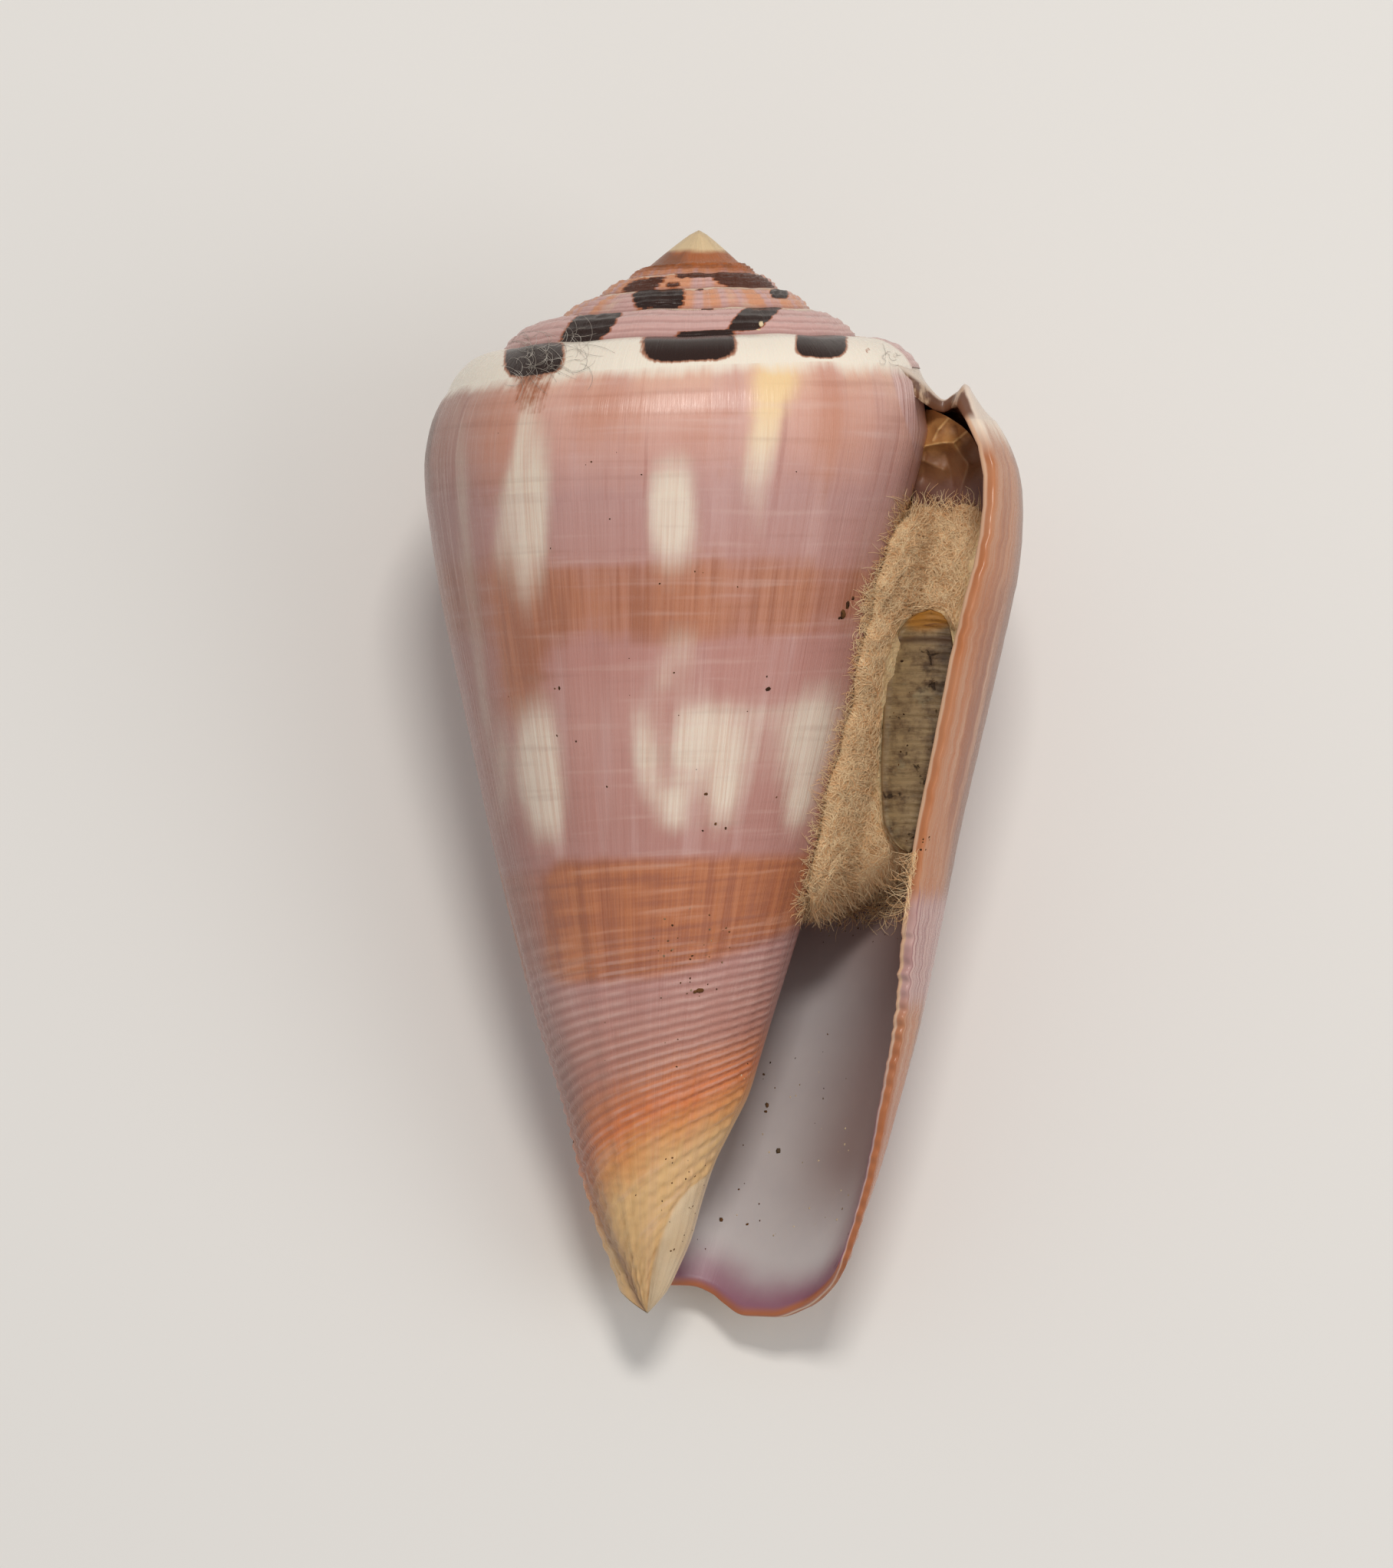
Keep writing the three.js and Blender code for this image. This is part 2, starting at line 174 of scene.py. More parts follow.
shoulder_depth = line([(FIRST, 9.1), (-260, 10.0), (-180, 10.9), (-90, 11.8), (0, 12.8), (LAST, 13)])


def shoulder(turn):
    turn = np.asarray(turn, float)
    grown = smooth(FIRST, FIRST + 60, turn)
    end = suture(LAST)
    depth = mix(end[1], shoulder_depth(turn), grown)
    r = mix(end[0], radius(turn, depth), grown)
    above = suture(turn + 360)
    early = turn <= FIRST + 1e-6
    return np.where(early, above[0], r), np.where(early, above[1], depth)


end_depth = line([
    (-180, LENGTH), (-150, 70.8), (-110, 70.0), (-80, 70.3), (-62, 70.4), (-50, 70.9), (-40, 71.6),
    (-26, 72.3), (-12, 72.3), (0, 71.5), (8, 70.6), (LAST, 68.8),
])
lip_turn = line([
    (13, 24), (16, 26), (20, 29), (28, 33), (40, 33), (46, 31), (51.5, 27), (58, 24), (63, 19), (67, 14),
    (72, 8),
])
notch_turn = line([(i / 6, t) for i, t in enumerate([29, 13, 9, 10, 19, 22, 24])])


def warp(turn, s, depth):
    """The lip's outline: where a point of the last sections really lies. s is over 1 on the flank."""
    worn = 0.35 * lip_wave(depth * 0.5)
    edge = np.where(s <= 1, notch_turn(np.clip(s, 0, 1)), lip_turn(depth)) + worn
    return turn + (edge - LAST) * smooth(-60, LAST, turn)


def lay(x, y, depth):
    """From beside, in front of and down the axis to the shell's resting place, in metres."""
    return np.stack([
        x + OFFSET[0] + 0 * depth,
        -depth * math.cos(TILT) - y * math.sin(TILT) + OFFSET[1],
        -depth * math.sin(TILT) + y * math.cos(TILT) + OFFSET[2],
    ], -1) / 1000


def place(turn, r, depth):
    return lay(r * np.cos(np.radians(turn)) - LEAN * depth, r * np.sin(np.radians(turn)), depth)


def outer_section(turn, s):
    """Radius and depth of the outer surface; s runs 0 to 1 on the ramp and 1 to 2 down the flank."""
    start, end = suture(turn), shoulder(turn)
    x, y = ramp(turn, np.clip(s, 0, 1))
    f = np.clip(s - 1, 0, 1)
    last = np.where(turn <= CANAL_START, LENGTH, end_depth(turn))
    depth = mix(end[1], last, f)
    near = (1 - smooth(0, 4, depth - end[1])) * (turn <= FIRST + 1e-6)
    flank = mix(radius(turn, depth), end[0], near)
    on_ramp = s <= 1
    return (np.where(on_ramp, mix(start[0], end[0], x), flank),
            np.where(on_ramp, mix(start[1], end[1], y), depth))


def wall(turn, depth):
    return mix(LIP_WALL, WALL, smooth(LAST, LAST - 45, turn)) * mix(1, 0.6, smooth(45, 68, depth))


ROOF, FLOOR = 0.03, 0.88  # where the cavity's roof and floor meet the inner whorl's flank


def cavity_section(turn, s):
    start = outer_section(turn - 360, 1 + ROOF + 0 * turn)
    floor = outer_section(turn - 360, 1 + FLOOR + 0 * turn)
    top = shoulder(turn)
    eaves = (top[0] - wall(turn, top[1]), top[1] + mix(0.1, 0.8, smooth(LAST, -30, turn)))
    x, y = ramp(turn, np.clip(s, 0, 1))
    opened = smooth(CANAL_START, CANAL_START + 75, turn)
    f = np.clip(s - 1, 0, 1)
    last = mix(floor[1], np.where(turn <= CANAL_START, floor[1], end_depth(turn)), opened)
    depth = mix(eaves[1], last, f)
    inside = radius(turn - 360, depth)
    room = np.maximum(0.5, radius(turn, depth) - wall(turn, depth) - inside)
    flank = inside + room * (1 - (1 - opened) * f ** 5)
    flank = np.where((f >= 1) & (opened == 0), floor[0], flank)
    on_ramp = s <= 1
    return (np.where(on_ramp, mix(start[0], eaves[0], x), flank),
            np.where(on_ramp, mix(start[1], eaves[1], y), depth))


def spiral_line(turn, depth):
    """Depth of the point's spiral line where it crosses the left side: lines climb toward the aperture."""
    back = np.clip((-180 - turn) / 160, 0, 1.2)
    slant = 0.03 + 0.11 * smooth(35, 60, depth)
    return depth * (1 + slant * back) - depth * 0.05 * np.clip((turn + 180) / 200, 0, 1)


# Where the columella's white face starts, by depth: the surface at lower turns is part of it.
face_turn = line([(61.5, -378), (62, -360), (63.6, -309), (65.5, -290), (68.8, -275), (LENGTH, -265)])
RIDGE = 0.80  # from one spiral ridge to the next, where they cross the left side
CORDS = 4.3  # spiral cords on each ramp of the spire


def relief(turn, s, depth):
    """How far the fine surface stands out from the smooth one, in mm."""
    flank = smooth(1.0, 1.1, s)
    h = 0.035 * growth_wave(np.radians(turn) * 1.5) * flank
    at = spiral_line(turn, depth)
    low = smooth(46, 51, at)
    beads = 1 + 0.55 * np.cos(np.radians(turn) * 58 + at * 2.3) * smooth(-230, -300, turn)
    ridge = np.cos(2 * math.pi * at / RIDGE)
    face = smooth(-2, 12, face_turn(depth) - turn)
    grain = (0.040 + 0.035 * smooth(52, 60, at)) * ridge * beads * low * (1 - 0.85 * smooth(62, 67, at))
    h = h + grain * (1 - face) * (turn > FIRST - 1) * (1 - smooth(-70, -25, turn))
    h = h - 0.16 * np.exp(-((face_turn(depth) - turn) / 5.0) ** 2) * smooth(62, 64, depth)
    knobs = 0.6 + 0.4 * np.cos(np.radians(turn) * 30 + at * 2.5 + growth_wave(at * 0.2))
    nodules = np.cos(2 * math.pi * at / 1.2) * knobs + 0.4 * growth_wave(np.radians(turn) * 0.5 - at * 0.1)
    h = h + 0.10 * nodules * smooth(60, 65, at) * (1 - face)
    groove = np.exp(-((turn + 286.5) / 1.5) ** 2) * smooth(14, 18, depth) * smooth(36, 31, depth)
    h = h - 0.05 * groove
    cords = 0.05 * np.cos(2 * math.pi * CORDS * s) * smooth(FIRST + 6, FIRST - 20, turn) * (s < 1)
    chips = 0.03 * growth_wave(np.radians(turn) * 3 + s * 9) * (s < 1) * smooth(FIRST + 6, FIRST - 20, turn)
    return h + cords + chips


def picture(turn, r, depth):
    """Across and down in the photograph's pixels, in which the markings are placed.

    Past the left side they run on round the back, by the length of the surface.
    """
    x = r * np.cos(np.radians(turn)) - LEAN * depth
    y = r * np.sin(np.radians(turn))
    near = DISTANCE / (DISTANCE - np.maximum(y, 0))
    a = CENTRE[0] + (x / PIXEL - (CENTRE[0] - APEX[0])) * near
    b = CENTRE[1] + (depth / PIXEL - (CENTRE[1] - APEX[1])) * near
    behind = (turn > -180) & (turn < 0)
    round_back = APEX[0] - (r + LEAN * depth + r * np.radians(turn + 180)) / PIXEL
    return np.where(behind, round_back, a), b


def blots(a, b, items):
    """How near each point is to the blots: full strength in the middle, half of that on an edge."""
    away = np.ones_like(a)
    for cx, cy, rx, ry, lean, strength in items:
        q = ((np.abs(a - cx - lean * (b - cy)) / rx) ** 2.6 + (np.abs(b - cy) / ry) ** 2.6) ** (1 / 2.6)
        away = away * (1 - strength * np.exp(-0.7 * q ** 1.8))
    return 1 - away


def window(b, start, full, still, end):
    """A soft band: 0 until start, 1 from full to still, 0 from end."""
    return smooth(start, full, b) * (1 - smooth(still, end, b))


# Where such rows start and end across, in pixels; the left side is at about 560.
ROW_START, ROW_END = 520.0, -760.0


def row_behind(seed, cy, rx, ry, gap):
    """Blots like the front's, at uneven distances round the back, which the photograph doesn't show."""
    r = np.random.default_rng(seed)
    items = []
    cx = ROW_START
    while cx > ROW_END:
        items.append((cx, cy + r.uniform(-16, 16), r.uniform(*rx), r.uniform(*ry), r.uniform(-0.15, 0.15),
                      r.uniform(0.75, 1)))
        cx -= r.uniform(*gap)
    return items


# Markings seen in the photograph: middle, half width, half height, slant (across per pixel down), strength.
WHITE = [
    (1000, 552, 19, 78, -0.2, 0.9), (1012, 492, 26, 30, 0, 0.8), (696, 660, 19, 92, -0.05, 0.95),
    (676, 590, 9, 92, -0.18, 0.7), (664, 690, 22, 60, 0, 0.45), (880, 672, 24, 60, 0, 0.98),
    (862, 655, 18, 42, 0, 0.6), (893, 848, 22, 34, 0, 0.45), (866, 880, 14, 30, 0, 0.35),
    (699, 985, 24, 56, 0, 0.95), (710, 1042, 20, 48, 0.1, 0.9), (842, 985, 16, 54, 0.1, 0.75),
    (878, 1052, 18, 28, 0, 0.85), (928, 962, 38, 42, 0, 0.98), (944, 1030, 19, 46, -0.1, 0.9),
    (895, 975, 18, 32, 0, 0.7), (1056, 958, 34, 52, -0.2, 0.95), (1044, 1040, 17, 40, -0.2, 0.8),
    (1000, 934, 40, 18, 0, 0.3), (655, 1000, 9, 64, 0, 0.5), (602, 640, 10, 120, 0.05, 0.55),
    (628, 900, 10, 120, 0.1, 0.5), (990, 660, 12, 46, 0, 0.3), (1120, 940, 16, 30, 0, 0.4),
    *row_behind(11, 985, (14, 36), (34, 66), (58, 120)),
    *row_behind(12, 640, (10, 26), (45, 92), (90, 190)),
    *row_behind(15, 860, (8, 16), (24, 60), (150, 260)),
]
ORANGE = [
    (680, 800, 30, 84, 0, 0.95), (672, 885, 24, 62, 0, 0.9), (760, 785, 36, 40, 0, 0.7),
    (888, 785, 46, 50, 0, 0.85), (1000, 768, 46, 40, 0, 0.6), (655, 560, 36, 80, 0, 0.75),
    (790, 535, 52, 46, 0, 0.55), (905, 560, 40, 40, 0, 0.35), (1085, 565, 46, 80, 0, 0.6),
    *row_behind(13, 780, (28, 64), (38, 62), (70, 130)),
    *row_behind(14, 560, (34, 66), (44, 84), (90, 160)),
]
# Dark blotches on the ramps: whorl (0 is the last), middle and half width across the photograph, from and
# to on the ramp, slant and strength.
DARK = [
    (0, 696, 38, 0.05, 1.0, 0, 1), (0, 898, 60, -0.1, 0.9, 0, 1), (0, 1071, 33, 0.05, 0.9, 0, 1),
    (0, 1131, 6, 0.55, 0.85, 0, 0.48), (1, 773, 31, -0.1, 1.1, -34, 1), (1, 982, 24, -0.1, 0.95, -34, 1),
    (1, 920, 44, 0.84, 1.1, 0, 0.85), (1, 922, 9, 0, 0.15, 0, 0.8), (2, 861, 34, -0.1, 1.1, 0, 1),
    (2, 1016, 13, 0, 0.6, 0, 0.8), (2, 912, 8, 0, 0.3, 0, 0.7), (3, 968, 42, -0.1, 1.1, 30, 1),
    (3, 842, 26, 0.2, 1.1, -20, 0.8), (3, 912, 34, -0.1, 0.5, 0, 0.85), (3, 878, 14, 0.5, 1.1, 0, 0.6),
]


def dark_behind():
    """Blotches on the back half of every ramp: middle and half width as growth angles, and from and to."""
    r = np.random.default_rng(21)
    items = []
    middle = 4.0
    while middle > FIRST - 360 * 2.6:
        if math.sin(math.radians(middle)) < -0.12:
            items.append((middle, r.uniform(6, 12), r.uniform(-0.1, 0.2), r.uniform(0.8, 1.1)))
        middle -= r.uniform(28, 46)
    return items


DARK_BEHIND = dark_behind()
BAND_TOP, BAND_FOOT = 1124, 1284  # the lower orange band round the back, by pixels down
band_foot = line([(560, 1290), (715, 1284), (850, 1274), (950, 1246), (1040, 1208)])
# Where the body's colours stop beside the notch and a pale callus begins, by pixels down.
callus_edge = line([(440, 1150), (482, 1159), (529, 1172), (585, 1190), (640, 1200)])


def markings(turn, s, r, depth):
    a, b = picture(turn, r, depth)
    facing = np.sin(np.radians(turn)) > 0
    front = turn < -180
    foot = np.where(front, band_foot(np.clip(a, 560, 1060)), BAND_FOOT)
    head = np.where(front, BAND_TOP - 0.03 * (a - 700), BAND_TOP)
    band = np.clip(0.5 + np.minimum(b - head, foot - b) / 44, 0, 1)
    band = band * np.where(front, mix(0.5, 1, smooth(700, 738, a)), 0.9)
    rows = np.maximum(0.62 * window(b, 715, 752, 812, 850), 0.16 * window(b, 470, 500, 575, 640))
    orange = 1 - (1 - blots(a, b, ORANGE)) * (1 - rows)
    whorl = np.floor((LAST - turn - 1e-6) / 360)
    dark = np.zeros_like(a)
    for number, cx, rx, start, end, slant, strength in DARK:
        across = np.abs(a - cx - slant * (s - 0.5)) / rx
        down = np.abs(s - (start + end) / 2) / ((end - start) / 2)
        q = (across ** 4 + down ** 4) ** 0.25
        here = strength * np.clip(1.4 - 0.9 * q, 0, 1) * (whorl == number) * facing
        dark = np.maximum(dark, here)
    for middle, half, start, end in DARK_BEHIND:
        across = np.abs(turn - middle) / half
        down = np.abs(s - (start + end) / 2) / ((end - start) / 2)
        q = (across ** 4 + down ** 4) ** 0.25
        dark = np.maximum(dark, np.clip(1.4 - 0.9 * q, 0, 1))
    return {
        "turn": turn, "s": s, "depth": depth, "down": b, "white": blots(a, b, WHITE),
        "orange": orange, "band": band, "dark": dark * (s < 1.05),
        "line": spiral_line(turn, depth), "face": (face_turn(depth) - turn) / 20,
        "callus": np.where(front, a - callus_edge(b), -99) * (b < 640),
    }


# The mesh is gathered as grids of points; grids that share an edge are welded afterwards.
class Skin:
    def __init__(self):
        self.points, self.faces, self.values, self.count = [], [], {}, 0

    def grid(self, points, values, flip=False):
        rows, columns = points.shape[:2]
        index = np.arange(rows * columns).reshape(rows, columns) + self.count
        quads = np.stack([index[:-1, :-1], index[1:, :-1], index[1:, 1:], index[:-1, 1:]], -1).reshape(-1, 4)
        if flip:
            quads = quads[:, ::-1]
        self.points.append(points.reshape(-1, 3))
        self.faces.append(quads)
        for name, value in values.items():
            full = np.broadcast_to(value, (rows, columns)).reshape(-1)
            self.values.setdefault(name, []).append(full)
        self.count += rows * columns

    def build(self, name, weld=1e-6):
        points = np.concatenate(self.points)
        values = {key: np.concatenate(v) for key, v in self.values.items()}
        keys = np.round(points / weld).astype(np.int64)
        _, first, inverse = np.unique(keys, axis=0, return_index=True, return_inverse=True)
        faces = inverse.reshape(-1)[np.concatenate(self.faces)]
        polygons = []
        for face in faces.tolist():
            kept = [v for i, v in enumerate(face) if v != face[i - 1]]
            if len(kept) > 2:
                polygons.append(kept)
        return new_piece(name, points[first], polygons, {key: v[first] for key, v in values.items()})


def new_piece(name, points, polygons, values=None):
    mesh = bpy.data.meshes.new(name)
    mesh.from_pydata(points.tolist(), [], polygons)
    for key, v in (values or {}).items():
        mesh.attributes.new(key, "FLOAT", "POINT").data.foreach_set("value", v.astype(np.float32))
    mesh.polygons.foreach_set("use_smooth", [True] * len(mesh.polygons))
    mesh.update()
    piece = bpy.data.objects.new(name, mesh)
    bpy.context.scene.collection.objects.link(piece)
    return piece


def steps(a, b, step=STEP):
    return np.linspace(a, b, int(round((b - a) / step)) + 1)


def normals(points):
    normal = np.cross(np.gradient(points, axis=0), np.gradient(points, axis=1))
    size = np.linalg.norm(normal, axis=-1, keepdims=True)
    return np.where(size > 1e-14, normal / np.maximum(size, 1e-14), 0)


def sheet(name, above, below, values, turned=False):
    """A thin closed sheet between two grids of points, with its four edges."""
    skin = Skin()
    skin.grid(above, values, turned)
    skin.grid(below, values, not turned)
    for end in (0, -1):
        for k, side in enumerate((np.s_[end], np.s_[:, end])):
            edge = {key: v[side][:, None] for key, v in values.items()}
            points = np.stack([above[side], below[side]], 1)
            skin.grid(points, edge, turned ^ (end == 0) ^ (k == 0))
    return skin.build(name)


def make_shell():
    skin = Skin()
    ramp_s = np.linspace(0, 1, 25)
    flank_s = 1 + np.concatenate([
        [0, ROOF / 3, 2 * ROOF / 3, ROOF], np.linspace(ROOF, 0.6, 49)[1:], np.linspace(0.6, FLOOR, 121)[1:],
        np.linspace(FLOOR, 1, 34)[1:],
    ])
    full_s = np.concatenate([ramp_s, flank_s[1:]])
    coarse_s = full_s[::3]
    top = FIRST - 360 * SPIRE_TURNS

    def outer_grid(turns, s):
        t, v = np.meshgrid(turns, s, indexing="ij")
        r, depth = outer_section(t, v)
        points = place(warp(t, v, depth), r, depth)
        seam = np.minimum(smooth(0, 0.12, v), np.where(t < FIRST + 1, 1 - smooth(0.9, 1, v) * (v <= 1), 1))
        seam = seam * (1 - smooth(1.97, 2, v)) * np.where(v > 1, smooth(FIRST, FIRST + 8, t), 1)
        seam = seam * (1 - smooth(LAST - 5, LAST, t))
        moved = points + normals(points) * (relief(t, v, depth) * seam / 1000)[..., None]
        skin.grid(moved, {**markings(t, v, r, depth), "inner": 0.0})
        return moved

    outer_grid(steps(top, FIRST), ramp_s)
    body = outer_grid(steps(FIRST, LAST), full_s)
    turns = steps(top, top + 360)
    t, k = np.meshgrid(turns, np.linspace(0, 1, 9), indexing="ij")
    r, depth = outer_section(turns, 0 * turns)
    r, depth = r[:, None] * (0.25 * np.sqrt(k) + 0.75 * k), depth[:, None] * k
    skin.grid(place(t, r, depth), {**markings(t, 0.5 + 0 * t, r, depth), "inner": 0.0})

    # The inner whorl's flank, as seen in the cavity, and the cavity's outer side.
    under_roof = coarse_s[coarse_s > 1 + ROOF - 1e-9]
    t, v = np.meshgrid(steps(CAVITY_START - 360, FIRST), under_roof, indexing="ij")
    r, depth = outer_section(t, v)
    skin.grid(place(t, r, depth), {**markings(t, v, r, depth), "inner": 1.0})
    t, v = np.meshgrid(steps(CAVITY_START, LAST), coarse_s, indexing="ij")
    r, depth = cavity_section(t, v)
    w = warp(t, v, depth)
    w[:, 0] = t[:, 0]
    room = place(w, r, depth)
    skin.grid(room, {**markings(t, v, r, depth), "inner": 2.0}, True)

    # The anterior edge and the lip's edge, both rounded over.
    def rim(a, b, t, v, flip, bulge, swell):
        angle = np.linspace(0, math.pi, 8)
        k = (1 - np.cos(angle)) / 2
        out = np.sin(angle)[None, :, None] * np.array(bulge) * swell[:, None, None] / 1000
        r, depth = outer_section(t, v)
        marks = markings(t, v, r, depth)
        marks = {key: np.broadcast_to(value[:, None], (len(t), len(k))) for key, value in marks.items()}
        skin.grid(a[:, None] * (1 - k[None, :, None]) + b[:, None] * k[None, :, None] + out,
                  {**marks, "inner": 2 * k}, flip)

    t = steps(CANAL_START, LAST)
    swell = smooth(CANAL_START, CANAL_START + 6, t) * (1 - smooth(LAST - 6, LAST, t))
    rim(body[-len(t):, -1], room[-len(t):, -1], t, 2 + 0 * t, False, (0, -0.2, -0.05), swell)
    inner_edge = np.stack([np.interp(full_s, coarse_s, room[-1][:, i]) for i in range(3)], -1)
    swell = smooth(0, 0.1, full_s) * (1 - smooth(1.96, 2, full_s))
    rim(body[-1], inner_edge, LAST + 0 * full_s, full_s, True, (-0.10, 0, 0.20), swell)
    piece = skin.build("shell_skin")
    for vertex in piece.data.vertices:
        if vertex.co.z < 0:
            vertex.co.z = 0
    return piece


# Shader arithmetic: a Wire is one socket, and sums and products of Wires add their Math nodes.
class Wire:
    tree = None

    def __init__(self, socket):
        self.socket = socket

    @staticmethod
    def node(kind, inputs=None, output=0, stops=None, **settings):
        made = Wire.tree.nodes.new(kind)
        for key, value in settings.items():
            setattr(made, key, value)
        if stops:
            ramp_stops = made.color_ramp.elements
            while len(ramp_stops) < len(stops):
                ramp_stops.new(0.5)
            for stop, (position, color) in zip(ramp_stops, stops):
                stop.position = position
                stop.color = color
        for key, value in (inputs or {}).items():
            if isinstance(value, Wire):
                Wire.tree.links.new(value.socket, made.inputs[key])
            else:
                made.inputs[key].default_value = value
        return Wire(made.outputs[output])

    @staticmethod
    def math(operation, a, b=0.0):
        return Wire.node("ShaderNodeMath", {0: a, 1: b}, operation=operation)

    def __add__(self, other):
        return Wire.math("ADD", self, other)

    def __radd__(self, other):
        return Wire.math("ADD", other, self)

    def __sub__(self, other):
        return Wire.math("SUBTRACT", self, other)

    def __rsub__(self, other):
        return Wire.math("SUBTRACT", other, self)

    def __mul__(self, other):
        return Wire.math("MULTIPLY", self, other)

    def __rmul__(self, other):
        return Wire.math("MULTIPLY", other, self)


def value_of(name):
    return Wire.node("ShaderNodeAttribute", output="Fac", attribute_type="GEOMETRY", attribute_name=name)


def between(x, low, high):
    """0 at low and 1 at high, smooth between them."""
    if high < low:
        return 1.0 - between(x, high, low)
    return Wire.node("ShaderNodeMapRange", {"Value": x, "From Min": low, "From Max": high},
                     interpolation_type="SMOOTHSTEP")


def at_point():
    return Wire.node("ShaderNodeTexCoord", output="Object")


def stretched(x, y, z=0.0):
    return Wire.node("ShaderNodeCombineXYZ", {0: x, 1: y, 2: z})


def noise(at, scale=1.0, detail=3.0, roughness=0.55, distortion=0.0):
    return Wire.node("ShaderNodeTexNoise", {"Vector": at, "Scale": scale, "Detail": detail,
                                            "Roughness": roughness, "Distortion": distortion}, "Fac")


def screen(r, g, b):
    """A colour given as the 0 to 255 that a screen shows."""
    return tuple(((v / 255 + 0.055) / 1.055) ** 2.4 for v in (r, g, b)) + (1.0,)


def blend(a, b, factor):
    """Two colours mixed; each is a Wire or red, green and blue as a screen shows them."""
    a, b = [color if isinstance(color, Wire) else screen(*color) for color in (a, b)]
    return Wire.node("ShaderNodeMix", {0: factor, 6: a, 7: b}, 2, data_type="RGBA")


def coats(color, *layers):
    """Colours laid one over another, each with how much it covers of those below."""
    for over, cover in layers:
        color = blend(color, over, cover)
    return color


def material(name, finish, **constants):
    """A Principled material; finish gives its changing sockets, and constants its fixed ones."""
    made = bpy.data.materials.new(name)
    made.use_nodes = True
    Wire.tree = made.node_tree
    shader = made.node_tree.nodes["Principled BSDF"]
    for key, value in constants.items():
        shader.inputs[key.replace("_", " ")].default_value = value
    for key, wire in finish().items():
        Wire.tree.links.new(wire.socket, shader.inputs[key])
    return made


def bump(height, distance):
    return Wire.node("ShaderNodeBump", {"Height": height, "Distance": distance, "Strength": 1.0}, "Normal")


# The body's ground colours by depth (mm) on the left side, and the depth where the ramp of them ends.
RAMP_DEPTH = 80
GROUNDS = [
    (9, (226, 186, 160)), (12, (218, 172, 156)), (15.5, (208, 160, 148)), (18.5, (192, 148, 142)),
    (24, (188, 138, 128)), (29, (188, 134, 124)), (34, (194, 144, 134)), (40, (184, 132, 122)),
    (49, (188, 138, 132)), (54, (190, 140, 130)), (58.5, (186, 128, 110)), (60.7, (204, 124, 78)),
    (62.6, (220, 122, 56)), (65.0, (224, 154, 86)), (67.8, (230, 188, 128)),
]


